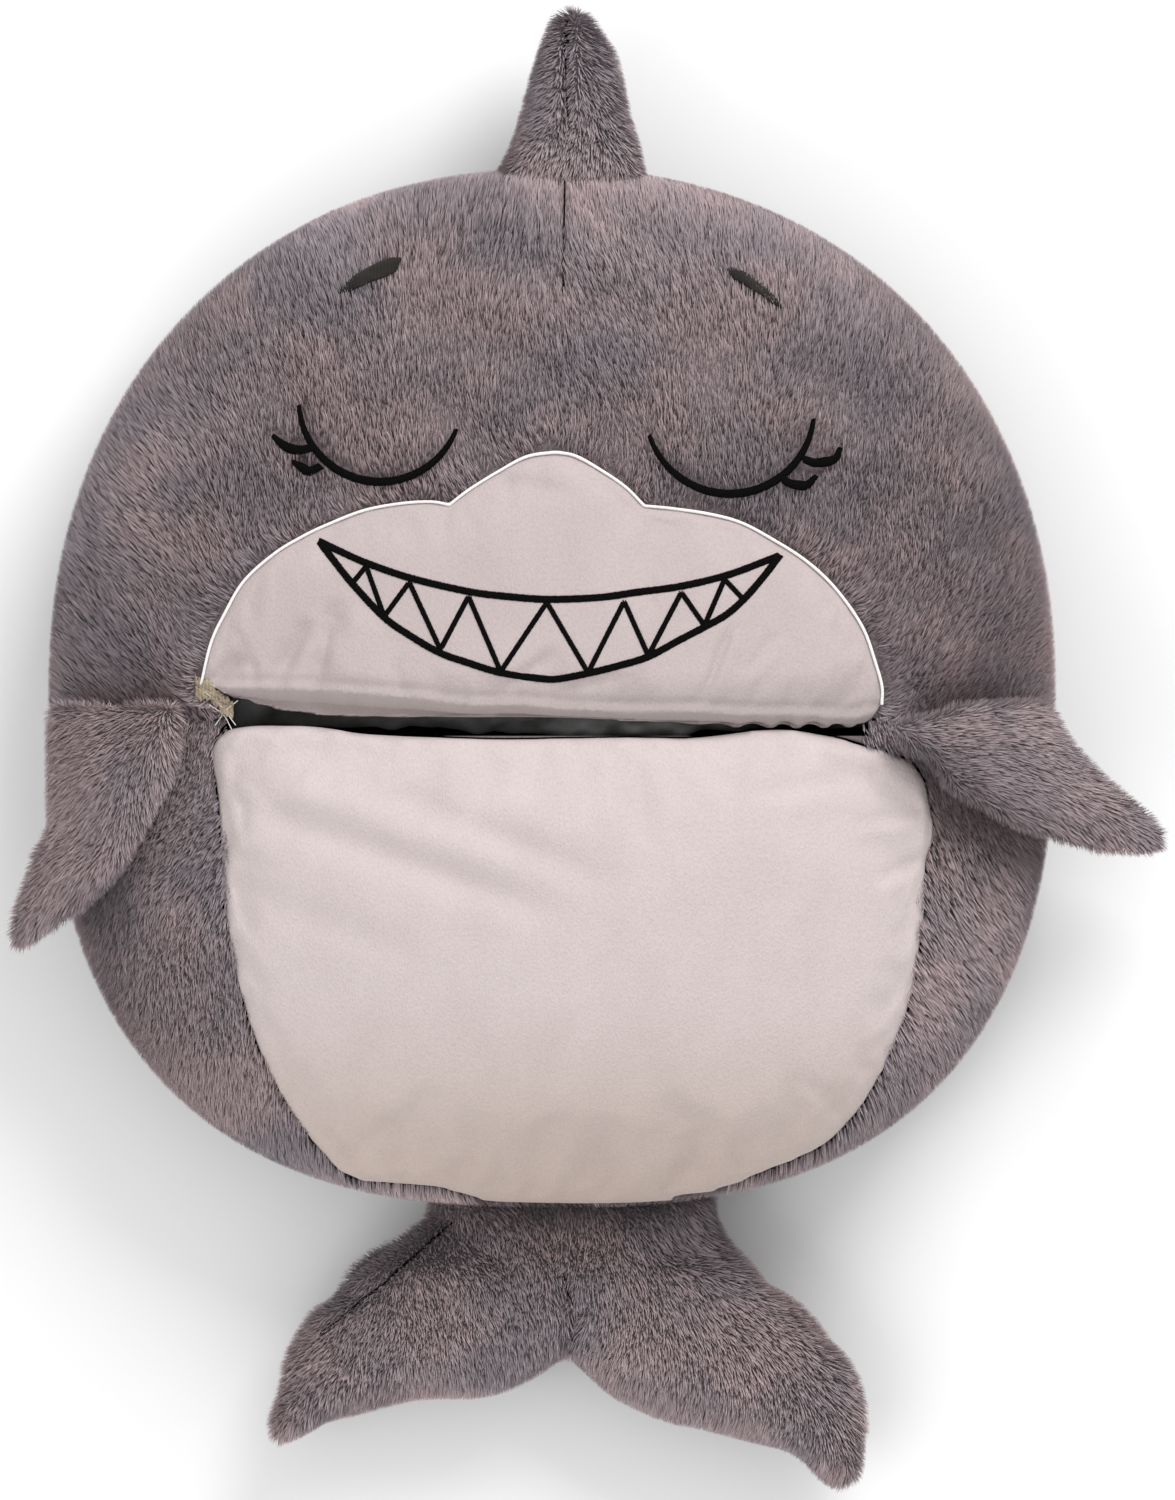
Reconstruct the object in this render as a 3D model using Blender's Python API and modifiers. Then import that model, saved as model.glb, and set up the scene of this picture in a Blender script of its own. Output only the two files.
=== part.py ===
"""Plush shark: a round pillow toy that lies on its back, with a pouch behind its belly.

Metres, +Z up.  The toy rests on the plane z = 0 with its face up.  The dorsal fin points
along +Y, the tail along -Y, and X runs across the body.  The origin is at the body's centre.
"""

import math

import bmesh
import bpy
from mathutils import Vector

MM = 0.001
GAP = 0.0005  # between neighbours that are sewn or laid together

# Round body
HALF_WIDTH = 0.2535
TOP_REACH = 0.263
BOTTOM_REACH = 0.2595
TOP_POWER = 2.15
BOTTOM_POWER = 2.6
RIM_Z = 0.060  # height of the side seam
CROWN_Z = 0.155  # height of the face
CROWN_EASE = 0.9
BACK_DEPTH = 1.35  # over 1, so that the underside comes out flat
FUR_WALL = 0.003
SEAM_HALF_GAP = 0.001
FILLING_INSET = 0.0048
BODY_SEGMENTS = 40
BODY_RINGS = 12

# Mouth: the slit between the head and the belly
HEAD_EDGE_Y = -0.0130
BELLY_EDGE_Y = -0.0205
BACK_SEAM_Y = -0.0168
SLIT_HALF = 0.168
LIP_WALL = 0.002
LIP_LOW = 0.006
FILLING_SETBACK = 0.003

# Belly flap
BATTING_THICKNESS = 0.024
LINING_THICKNESS = 0.002
LAYER_GAP = 0.0030
CORE_SHARE = 0.93  # the padding's size against the panel, so that it clears the sides as it lifts
BATTING_SHARE = 0.75  # most of the height over the hinge that the batting takes at the rim

# Folded sleeping sack inside the pouch
SACK_WIDTH = 0.24
SACK_FOLD_LENGTH = 0.105
SACK_PITCH = 0.0150
SACK_LAYERS = 4
SACK_CLOTH = 0.004
SACK_OFFSET = 0.6  # each cloth's distance from the fold's middle, in cloth thicknesses
SACK_CENTRE_Y = -0.128
SACK_LOW_Z = 0.024

# Embroidery
LASH_RADIUS = 0.0016
TOOTH_RADIUS = 0.0013
EDGE_CORD_RADIUS = 0.0011
STITCH_CLEARANCE = 0.0008
BROW_THICKNESS = 0.0016

# Fin, tail and flippers
FIN_MID_Z = 0.062
FIN_THICKNESS = 0.050
FIN_SEAM_X = 0.0075
TAIL_MID_Z = 0.040
TAIL_THICKNESS = 0.052
FLIPPER_THICKNESS = 0.028
FLIPPER_CLEARANCE = 0.003
DRAPE_SHARE = 0.93  # past this share of the body's radius a flipper hangs free
DRAPE_SLOPE = 0.19
LIMB_WALL = 0.0025
LIMB_INSET = 0.0062

# Cutting blocks, which reach past the body on every side
CUT_X = 0.3
CUT_Y = 0.4
CUT_LOW = -0.01
CUT_HIGH = 0.3
PRISM_HIGH = 0.2
MUZZLE_CUT_LOW = 0.07
BELLY_CUT_LOW = 0.03
HEM_HALF = 0.06
HEM_EDGE_Y = -0.24

# Display
CREASE_ANGLE = 50
EMPTY_SIZE = 0.03

# Joint axes, as (point on the axis) for the parent empties
FIN_AXIS = Vector((FIN_SEAM_X, 0.2645, 0.0885))
TAIL_AXIS = Vector((0.008, -0.2655, 0.0675))
BELLY_AXIS = Vector((0.010, -0.2570, RIM_Z + SEAM_HALF_GAP))

# Outlines in millimetres
MUZZLE = [
    (163, -13), (165, 5), (158, 28), (140, 54), (112, 75), (80, 88.5), (49, 93),
    (26, 110), (5, 119), (-14, 117), (-36, 104), (-52, 94.5), (-77, 93.5), (-112, 83.5),
    (-141, 67), (-163, 39), (-175, 8), (-173, -13),
]
BELLY = [
    (140, -22), (168, -33), (183, -48), (190, -72), (187, -118), (174, -172), (150, -215),
    (112, -239), (60, -252), (0, -254.5), (-52, -250), (-98, -240), (-124, -220),
    (-150, -173), (-165, -110), (-169, -50), (-160, -22), (-120, -20.5), (0, -20.5),
    (100, -20.5),
]
FIN = [
    (48.5, 265.2), (42, 286), (34.5, 317), (24, 335), (12, 343.5), (0, 339.5),
    (-8.5, 320), (-18, 288), (-29, 265.2), (8, 265.2),
]
TAIL = [
    (84, -267), (103, -286), (126, -306), (150, -335), (159, -366), (157, -393),
    (143, -402), (127, -390), (95, -379), (55, -368), (28, -355), (7, -338), (-14, -350),
    (-45, -357.5), (-95, -365), (-133, -379), (-143.5, -371), (-138, -345), (-122, -309),
    (-98, -282), (-66, -267), (8, -266.5),
]
LEFT_FLIPPER = [
    (-183, -3), (-182, -26), (-192, -57), (-212, -94), (-244, -122), (-266, -134),
    (-273.5, -124), (-264, -86), (-257, -50), (-254, -3), (-218, -2),
]
RIGHT_FLIPPER = [
    (166, -18), (172, -28), (186, -38), (204, -58), (245, -76), (296, -86), (309, -74),
    (296, -55), (264, -24), (250, -4), (215, -1.5), (178, -8.5),
]
LEFT_FLIPPER_CENTRE = (-222, -55)
RIGHT_FLIPPER_CENTRE = (225, -38)
TAIL_CENTRE = (6, -306)
FIN_CENTRE = (8, 292)
MUZZLE_CENTRE = (-4, 38)
BELLY_CENTRE = (6, -125)

# Eyelid arcs: centre and radius in millimetres, start and end angle in degrees
LEFT_EYE_ARC = ((-85.5, 144.5), 40.5, 183, 340)
RIGHT_EYE_ARC = ((88.5, 140), 42, 198, 353)
LEFT_LASHES = [
    [(-124, 132), (-132, 122), (-139, 127)],
    [(-117, 118), (-122, 110), (-129, 114)],
]
RIGHT_LASHES = [
    [(128, 127), (135, 114), (143.5, 121)],
    [(119, 111), (125, 103), (132, 107)],
]
# Brow patches: both ends and the bow of the upper and lower edge
LEFT_BROW = ((-107, 198.5), (-75.5, 216.5), 4.5)
RIGHT_BROW = ((87.5, 211.5), (115.5, 192), 3.4)

# Grin: ends, sag of the upper and lower lip line, and tooth positions along them
GRIN_LEFT = (-116, 74.5)
GRIN_RIGHT = (113.5, 67.5)
GRIN_UPPER_SAG = 26
GRIN_LOWER_SAG = 66
TOOTH_SHARES = [0.07, 0.11, 0.145, 0.20, 0.265, 0.325, 0.395, 0.495, 0.585, 0.66,
                0.715, 0.785, 0.83, 0.88, 0.915]


def clear_scene():
    for item in list(bpy.data.objects):
        bpy.data.objects.remove(item)


def new_collection(name):
    collection = bpy.data.collections.new(name)
    bpy.context.scene.collection.children.link(collection)
    return collection


def material(name, colour, roughness, metallic=0.0):
    made = bpy.data.materials.new(name)
    made.use_nodes = True
    shader = made.node_tree.nodes["Principled BSDF"]
    shader.inputs["Base Color"].default_value = (*colour, 1.0)
    shader.inputs["Roughness"].default_value = roughness
    shader.inputs["Metallic"].default_value = metallic
    return made


def add_object(name, mesh, collection, finish=None, parent=None):
    item = bpy.data.objects.new(name, mesh)
    collection.objects.link(item)
    if finish:
        item.data.materials.append(finish)
        item.data.shade_smooth()
        item.data.set_sharp_from_angle(angle=math.radians(CREASE_ANGLE))
    if parent:
        item.parent = parent
        item.matrix_parent_inverse = parent.matrix_world.inverted()
    return item


def pivot(name, place, collection):
    empty = bpy.data.objects.new(name, None)
    empty.empty_display_size = EMPTY_SIZE
    empty.location = place
    collection.objects.link(empty)
    bpy.context.view_layer.update()
    return empty


# ---- plan outlines -------------------------------------------------------------------


def smooth_loop(points, count):
    """`count` even points, counter-clockwise, on the closed smooth curve through `points`."""
    given = [Vector(p) * MM for p in points]
    turn = sum(a.cross(b) for a, b in zip(given, given[1:] + given[:1]))
    if turn < 0:
        given.reverse()
    dense = []
    size = len(given)
    for i in range(size):
        a, b, c, d = (given[(i + k) % size] for k in (-1, 0, 1, 2))
        for step in range(8):
            t = step / 8
            dense.append(
                0.5 * (2 * b + (c - a) * t + (2 * a - 5 * b + 4 * c - d) * t * t
                       + (3 * b - a - 3 * c + d) * t ** 3)
            )
    return even_points(dense + dense[:1], count)


def even_points(line, count):
    """`count` points at equal distances along `line`, without its last point."""
    reach = [0.0]
    for a, b in zip(line, line[1:]):
        reach.append(reach[-1] + (b - a).length)
    points, k = [], 0
    for i in range(count):
        target = reach[-1] * i / count
        while reach[k + 1] < target:
            k += 1
        share = (target - reach[k]) / max(reach[k + 1] - reach[k], 1e-9)
        points.append(line[k].lerp(line[k + 1], share))
    return points


def inset_loop(loop, distance):
    """The counter-clockwise loop moved inwards by `distance`."""
    moved = []
    for i, point in enumerate(loop):
        along = (loop[(i + 1) % len(loop)] - loop[i - 1]).normalized()
        moved.append(point + Vector((-along.y, along.x)) * distance)
    return moved


def body_loop(count, inset=0.0):
    """The round body's outline, wider at the bottom corners than at the top."""
    loop = []
    for i in range(count):
        angle = math.tau * i / count
        power = TOP_POWER if math.sin(angle) >= 0 else BOTTOM_POWER
        reach = TOP_REACH if math.sin(angle) >= 0 else BOTTOM_REACH
        norm = (abs(math.cos(angle) / HALF_WIDTH) ** power
                + abs(math.sin(angle) / reach) ** power) ** (1 / power)
        loop.append(Vector((math.cos(angle), math.sin(angle))) * (1 / norm - inset))
    return loop


def body_share(x, y):
    """0 at the body's centre, 1 on its outline."""
    power = TOP_POWER if y >= 0 else BOTTOM_POWER
    reach = TOP_REACH if y >= 0 else BOTTOM_REACH
    return (abs(x / HALF_WIDTH) ** power + abs(y / reach) ** power) ** (1 / power)


def dome(x, y):
    """Height of the body's front surface."""
    rise = max(0.0, 1 - body_share(x, y) ** 2) ** (CROWN_EASE / 2)
    return RIM_Z + (CROWN_Z - RIM_Z) * rise


def dome_normal(x, y):
    step = 0.001
    slope_x = (dome(x + step, y) - dome(x - step, y)) / (2 * step)
    slope_y = (dome(x, y + step) - dome(x, y - step)) / (2 * step)
    return Vector((-slope_x, -slope_y, 1)).normalized()


def drape(x, y):
    """Height of a flipper's underside: on the body's front, then hanging down past it."""
    share = body_share(x, y)
    scale = min(1.0, DRAPE_SHARE / share)
    return dome(x * scale, y * scale) + FLIPPER_CLEARANCE - DRAPE_SLOPE * max(0, share - DRAPE_SHARE)


# ---- solids --------------------------------------------------------------------------


def pillow_mesh(name, loop, centre, low, middle, high, half="whole", rings=6, lift_power=0.9):
    """A sphere drawn out to `loop`, with its faces at the heights that the functions give.

    half is whole, top or bottom.  The open halves stop SEAM_HALF_GAP short of the middle.
    """
    bm = bmesh.new()
    bmesh.ops.create_uvsphere(bm, u_segments=len(loop), v_segments=rings, radius=1.0)
    if half != "whole":
        sign = 1 if half == "top" else -1
        gone = [v for v in bm.verts if v.co.z * sign < -1e-4]
        bmesh.ops.delete(bm, geom=gone, context="VERTS")
    for vert in bm.verts:
        flat = math.hypot(vert.co.x, vert.co.y)
        turn = math.atan2(vert.co.y, vert.co.x) % math.tau
        edge = loop[round(turn / math.tau * len(loop)) % len(loop)]
        plan = centre + (edge - centre) * flat
        lift = abs(vert.co.z) ** lift_power
        mid = middle(plan.x, plan.y)
        if vert.co.z > 1e-4:
            height = mid + (high(plan.x, plan.y) - mid) * lift
        elif vert.co.z < -1e-4:
            height = mid - (mid - low(plan.x, plan.y)) * lift
        else:
            height = mid + {"whole": 0, "top": SEAM_HALF_GAP, "bottom": -SEAM_HALF_GAP}[half]
        vert.co = (plan.x, plan.y, height)
    bmesh.ops.triangulate(bm, faces=bm.faces)
    return finish_mesh(name, bm)


def slab_mesh(name, loop, centre, low, high, rings=8):
    """A layer with the plan outline `loop` and a flat side, between two height functions."""
    bm = bmesh.new()
    bmesh.ops.create_uvsphere(bm, u_segments=len(loop), v_segments=rings, radius=1.0)
    widest = max(math.hypot(v.co.x, v.co.y) for v in bm.verts if abs(v.co.z) > 1e-4)
    for vert in bm.verts:
        flat = min(1.0, math.hypot(vert.co.x, vert.co.y) / widest)
        turn = math.atan2(vert.co.y, vert.co.x) % math.tau
        edge = loop[round(turn / math.tau * len(loop)) % len(loop)]
        plan = centre + (edge - centre) * flat
        bottom, top = low(plan.x, plan.y), high(plan.x, plan.y)
        level = 0.5 if abs(vert.co.z) < 1e-4 else float(vert.co.z > 0)
        vert.co = (plan.x, plan.y, bottom + (top - bottom) * level)
    bmesh.ops.triangulate(bm, faces=bm.faces)
    return finish_mesh(name, bm)


def finish_mesh(name, bm):
    mesh = bpy.data.meshes.new(name)
    bm.to_mesh(mesh)
    bm.free()
    return mesh


def body_middle(x, y):
    return RIM_Z


def body_pillow(name, inset, half="whole"):
    """The round body's form, `inset` inside its surface."""
    def low(x, y):
        return inset

    def high(x, y):
        return CROWN_Z - inset

    loop = body_loop(BODY_SEGMENTS, inset)
    mesh = pillow_mesh(
        name, loop, Vector((0, 0)), low, body_middle, high, half, BODY_RINGS, CROWN_EASE
    )
    for vert in mesh.vertices:
        if vert.co.z < RIM_Z - 2 * SEAM_HALF_GAP:
            sunk = RIM_Z - (RIM_Z - vert.co.z) * BACK_DEPTH
            vert.co.z = max(inset, sunk)
    return mesh


def evaluated(item):
    """The object's mesh with its modifiers applied; the object itself is removed."""
    graph = bpy.context.evaluated_depsgraph_get()
    mesh = bpy.data.meshes.new_from_object(item.evaluated_get(graph), depsgraph=graph)
    mesh.name = item.name
    bpy.data.objects.remove(item)
    return mesh


def body_shell(name, half, inset, thickness, collection):
    """Half of the round body's cloth wall, with its rim kept on its own side of the seam."""
    item = add_object(name, body_pillow(name, inset, half), collection)
    wall = item.modifiers.new("wall", "SOLIDIFY")
    wall.thickness = thickness
    wall.offset = -1.0
    wall.use_even_offset = False
    bpy.context.view_layer.update()
    mesh = evaluated(item)
    for vert in mesh.vertices:
        if half == "top":
            vert.co.z = max(vert.co.z, RIM_Z + SEAM_HALF_GAP)
        else:
            vert.co.z = min(vert.co.z, RIM_Z - SEAM_HALF_GAP)
    bm = bmesh.new()
    bm.from_mesh(mesh)
    bmesh.ops.triangulate(bm, faces=bm.faces)
    bm.to_mesh(mesh)
    bm.free()
    return mesh


def prism(name, loop, low, high, collection):
    """An upright cutter with the plan outline `loop`."""
    bm = bmesh.new()
    floor = bm.faces.new([bm.verts.new((p.x, p.y, low)) for p in loop])
    floor.normal_flip()
    grown = bmesh.ops.extrude_face_region(bm, geom=[floor])
    raised = [v for v in grown["geom"] if isinstance(v, bmesh.types.BMVert)]
    bmesh.ops.translate(bm, verts=raised, vec=(0, 0, high - low))
    bmesh.ops.recalc_face_normals(bm, faces=bm.faces)
    return cutter(name, finish_mesh(name, bm), collection)


def block(name, low, high, collection):
    """A box cutter between two corners."""
    bm = bmesh.new()
    bmesh.ops.create_cube(bm, size=1.0)
    low, high = Vector(low), Vector(high)
    for vert in bm.verts:
        vert.co = (low + high) / 2 + Vector(a * b for a, b in zip(vert.co, high - low))
    return cutter(name, finish_mesh(name, bm), collection)


def cutter(name, mesh, collection):
    item = add_object(name, mesh, collection)
    item.hide_render = True
    item.display_type = "WIRE"
    return item


def boolean(item, tool, operation):
    step = item.modifiers.new(tool.name, "BOOLEAN")
    step.operation = operation
    step.object = tool


def tube(name, points, radius, collection, taper=None):
    """A round cord through `points`, as a welded mesh object."""
    curve = bpy.data.curves.new(name, "CURVE")
    curve.dimensions = "3D"
    curve.bevel_depth = radius
    curve.bevel_resolution = 0
    curve.use_fill_caps = True
    spline = curve.splines.new("POLY")
    spline.points.add(len(points) - 1)
    for i, point in enumerate(points):
        spline.points[i].co = (*point, 1.0)
        spline.points[i].radius = taper[i] if taper else 1.0
    item = bpy.data.objects.new(name, curve)
    collection.objects.link(item)
    bpy.context.view_layer.update()
    mesh = evaluated(item)
    bm = bmesh.new()
    bm.from_mesh(mesh)
    bmesh.ops.remove_doubles(bm, verts=bm.verts, dist=0.00001)
    bmesh.ops.triangulate(bm, faces=bm.faces)
    bmesh.ops.recalc_face_normals(bm, faces=bm.faces)
    bm.to_mesh(mesh)
    bm.free()
    return add_object(name, mesh, collection)


def on_dome(points, radius):
    """Plan points in metres laid on the body's front, clear of it by a cord's radius."""
    laid = []
    for x, y in points:
        place = Vector((x, y, dome(x, y)))
        laid.append(place + dome_normal(x, y) * (radius + STITCH_CLEARANCE))
    return laid


def join(name, items, collection, finish):
    """One body from overlapping tubes."""
    base = items[0]
    for other in items[1:]:
        boolean(base, other, "UNION")
    bpy.context.view_layer.update()
    mesh = evaluated(base)
    for other in items[1:]:
        bpy.data.objects.remove(other)
    return add_object(name, mesh, collection, finish)


# ---- sub-parts -----------------------------------------------------------------------


def head(parts, tools, fur, filling, lining):
    muzzle_cut = prism("muzzle_cut", inset_loop(smooth_loop(MUZZLE, 40), -GAP), MUZZLE_CUT_LOW,
                       PRISM_HIGH, tools)
    mouth_cut = block("mouth_cut", (-CUT_X, -CUT_Y, CUT_LOW), (CUT_X, HEAD_EDGE_Y, CUT_HIGH), tools)
    filling_cut = block("filling_cut", (-CUT_X, -CUT_Y, CUT_LOW),
                        (CUT_X, HEAD_EDGE_Y + FILLING_SETBACK, CUT_HIGH), tools)
    seam_cut = block("head_seam_cut", (-CUT_X, -CUT_Y, CUT_LOW),
                     (CUT_X, BACK_SEAM_Y + GAP / 2, CUT_HIGH), tools)
    lip_zone = block("lip_zone", (-SLIT_HALF, HEAD_EDGE_Y, LIP_LOW),
                     (SLIT_HALF, HEAD_EDGE_Y + LIP_WALL, CUT_HIGH), tools)

    front = body_shell("head_front_panel", "top", 0.0, FUR_WALL, tools)
    front = add_object("head_front_panel", front, parts, fur)
    boolean(front, mouth_cut, "DIFFERENCE")
    boolean(front, muzzle_cut, "DIFFERENCE")

    back = body_shell("head_back_panel", "bottom", 0.0, FUR_WALL, tools)
    back = add_object("head_back_panel", back, parts, fur)
    boolean(back, seam_cut, "DIFFERENCE")

    core = add_object("head_filling", body_pillow("head_filling", FILLING_INSET), parts, filling)
    boolean(core, filling_cut, "DIFFERENCE")

    lip = add_object("mouth_lip_lining", body_pillow("mouth_lip_lining", FILLING_INSET), parts, lining)
    boolean(lip, lip_zone, "INTERSECT")


def muzzle(parts, tools, smooth, cord):
    mouth_trim = block("muzzle_trim", (-CUT_X, -CUT_Y, CUT_LOW), (CUT_X, HEAD_EDGE_Y, CUT_HIGH), tools)
    loop = inset_loop(smooth_loop(MUZZLE, 40), GAP)

    def low(x, y):
        return dome(x, y) - FUR_WALL

    mesh = slab_mesh("muzzle_panel", loop, Vector(MUZZLE_CENTRE) * MM, low, dome, 8)
    panel = add_object("muzzle_panel", mesh, parts, smooth)
    boolean(panel, mouth_trim, "DIFFERENCE")

    upper = [p for p in smooth_loop(MUZZLE, 72) if p.y > HEAD_EDGE_Y + 0.004]
    start = max(range(len(upper)), key=lambda i: (upper[i] - upper[i - 1]).length)
    path = upper[start:] + upper[:start]
    edge = tube("muzzle_edge_stitch", on_dome(path, EDGE_CORD_RADIUS), EDGE_CORD_RADIUS, tools)
    add_object("muzzle_edge_stitch", evaluated(edge), parts, cord)


def eye(name, arc, lashes, parts, tools, thread):
    (cx, cy), radius, start, end = arc
    steps = 14
    lid = []
    for i in range(steps + 1):
        angle = math.radians(start + (end - start) * i / steps)
        lid.append(((cx + radius * math.cos(angle)) * MM, (cy + radius * math.sin(angle)) * MM))
    tubes = [tube(f"{name}_lid", on_dome(lid, LASH_RADIUS), LASH_RADIUS, tools)]
    for number, points in enumerate(lashes):
        a, b, c = (Vector(p) * MM for p in points)
        path = [a.lerp(b, t).lerp(b.lerp(c, t), t) for t in (0, 0.25, 0.5, 0.75, 1)]
        lash = on_dome([(p.x, p.y) for p in path], LASH_RADIUS)
        tubes.append(tube(f"{name}_lash_{number}", lash, LASH_RADIUS, tools, [1, 1.1, 1, 0.8, 0.5]))
    join(name, tubes, parts, thread)


def brow(name, spec, parts, felt):
    start, end, bow = spec
    a, b = Vector(start) * MM, Vector(end) * MM
    across = Vector((-(b - a).y, (b - a).x)).normalized() * bow * MM
    steps = 8
    lower = [a.lerp(b, i / steps) - across * math.sin(math.pi * i / steps) for i in range(steps)]
    upper = [b.lerp(a, i / steps) + across * math.sin(math.pi * i / steps) for i in range(steps)]

    def low(x, y):
        return dome(x, y) + STITCH_CLEARANCE

    def high(x, y):
        return dome(x, y) + STITCH_CLEARANCE + BROW_THICKNESS

    add_object(name, slab_mesh(name, lower + upper, (a + b) / 2, low, high, 4), parts, felt)


def grin_line(share, sag):
    """A point on a lip line: a parabola that sags below the chord between the grin's ends."""
    left, right = Vector(GRIN_LEFT), Vector(GRIN_RIGHT)
    point = left.lerp(right, share)
    bend = 4 * share * (1 - share)
    return (point - Vector((0, sag * bend))) * MM


def grin(parts, tools, thread):
    steps = 12
    upper = [grin_line(i / steps, GRIN_UPPER_SAG) for i in range(steps + 1)]
    lower = [grin_line(i / steps, GRIN_LOWER_SAG) for i in range(steps + 1)]
    teeth = []
    for number, share in enumerate(TOOTH_SHARES):
        teeth.append(grin_line(share, GRIN_UPPER_SAG if number % 2 else GRIN_LOWER_SAG))
    halves = [a.lerp(b, 0.5) for a, b in zip(teeth, teeth[1:])]
    zigzag = [point for pair in zip(teeth, halves) for point in pair] + teeth[-1:]
    tubes = []
    for name, line, radius in (
        ("grin_upper", upper, LASH_RADIUS),
        ("grin_lower", lower, LASH_RADIUS),
        ("grin_teeth", zigzag, TOOTH_RADIUS),
    ):
        tubes.append(tube(name, on_dome([(p.x, p.y) for p in line], LASH_RADIUS), radius, tools))
    join("grin_embroidery", tubes, parts, thread)


def pouch(parts, tools, fur, lining):
    belly_cut = prism("belly_cut", inset_loop(smooth_loop(BELLY, 36), -2 * GAP), BELLY_CUT_LOW,
                      PRISM_HIGH, tools)
    middle_cut = block("hem_cut", (-HEM_HALF, -CUT_Y, 0.0), (HEM_HALF, HEM_EDGE_Y, CUT_HIGH), tools)
    head_cut = block("head_cut", (-CUT_X, HEAD_EDGE_Y - GAP, CUT_LOW),
                     (CUT_X, CUT_Y, CUT_HIGH), tools)
    slit_cut = block("slit_cut", (-SLIT_HALF, BELLY_EDGE_Y, CUT_LOW),
                     (SLIT_HALF, 0.0, CUT_HIGH), tools)
    seam_cut = block("pouch_seam_cut", (-CUT_X, BACK_SEAM_Y - GAP / 2, CUT_LOW),
                     (CUT_X, CUT_Y, CUT_HIGH), tools)
    lining_cut = block("lining_cut", (-CUT_X, BELLY_EDGE_Y, CUT_LOW),
                       (CUT_X, CUT_Y, CUT_HIGH), tools)
    for side, keep in (("left", -1), ("right", 1)):
        name = f"pouch_side_{side}"
        shell = body_shell(name, "top", 0.0, FUR_WALL, tools)
        panel = add_object(name, shell, parts, fur)
        low, high = sorted((0.0, -keep * CUT_X))
        half_cut = block(f"{name}_cut", (low, -CUT_Y, CUT_LOW), (high, CUT_Y, CUT_HIGH), tools)
        for tool in (half_cut, head_cut, slit_cut, belly_cut, middle_cut):
            boolean(panel, tool, "DIFFERENCE")

    back = body_shell("pouch_back_panel", "bottom", 0.0, FUR_WALL, tools)
    back = add_object("pouch_back_panel", back, parts, fur)
    boolean(back, seam_cut, "DIFFERENCE")

    bag = body_shell("pouch_lining", "bottom", FILLING_INSET, LINING_THICKNESS, tools)
    bag = add_object("pouch_lining", bag, parts, lining)
    boolean(bag, lining_cut, "DIFFERENCE")


def belly_flap(parts, smooth, filling, lining, parent):
    """The padded belly panel, in layers that follow the body's front and thin out at its rim."""
    rim = smooth_loop(BELLY, 36)
    centre = Vector(BELLY_CENTRE) * MM
    core = [centre.lerp(point, CORE_SHARE) for point in rim]

    def batting_depth(x, y):
        room = dome(x, y) - BELLY_AXIS.z
        return min(FUR_WALL + LAYER_GAP + BATTING_THICKNESS, room * BATTING_SHARE)

    def panel_top(x, y):
        return dome(x, y)

    def panel_under(x, y):
        return dome(x, y) - FUR_WALL

    def batting_top(x, y):
        return dome(x, y) - FUR_WALL - LAYER_GAP

    def batting_under(x, y):
        return dome(x, y) - batting_depth(x, y)

    def lining_top(x, y):
        return batting_under(x, y) - LAYER_GAP

    def lining_under(x, y):
        return lining_top(x, y) - LINING_THICKNESS

    for name, loop, low, high, finish in (
        ("belly_panel", rim, panel_under, panel_top, smooth),
        ("belly_batting", core, batting_under, batting_top, filling),
        ("belly_lining", core, lining_under, lining_top, lining),
    ):
        add_object(name, slab_mesh(name, loop, centre, low, high, 12), parts, finish, parent)


def sack_path(offset):
    """The folded sack's side view: straight layers joined by half turns, moved by `offset`."""
    points = []
    half = SACK_FOLD_LENGTH / 2
    radius = SACK_PITCH / 2
    for layer in range(SACK_LAYERS):
        sign = 1 if layer % 2 == 0 else -1
        z = SACK_LOW_Z + SACK_PITCH * layer
        shift = offset * sign
        if layer == 0:
            points.append((-half * sign, z + shift))
        if layer == SACK_LAYERS - 1:
            points.append((half * sign, z + shift))
            break
        for step in range(7):
            angle = math.radians(-90 + 30 * step)
            reach = radius - shift
            points.append((
                sign * (half + reach * math.cos(angle)),
                z + radius + reach * math.sin(angle),
            ))
    return [(SACK_CENTRE_Y + y, z) for y, z in points]


def folded_sack(parts, tools, shell, lining):
    for name, offset, finish in (
        ("sack_shell", -SACK_CLOTH * SACK_OFFSET, shell),
        ("sack_lining", SACK_CLOTH * SACK_OFFSET, lining),
    ):
        bm = bmesh.new()
        line = [bm.verts.new((-SACK_WIDTH / 2, y, z)) for y, z in sack_path(offset)]
        edges = [bm.edges.new(pair) for pair in zip(line, line[1:])]
        grown = bmesh.ops.extrude_edge_only(bm, edges=edges)
        moved = [v for v in grown["geom"] if isinstance(v, bmesh.types.BMVert)]
        bmesh.ops.translate(bm, verts=moved, vec=(SACK_WIDTH, 0, 0))
        mesh = finish_mesh(name, bm)
        item = add_object(name, mesh, parts, finish)
        wall = item.modifiers.new("cloth", "SOLIDIFY")
        wall.thickness = SACK_CLOTH
        wall.offset = 0.0


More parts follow.
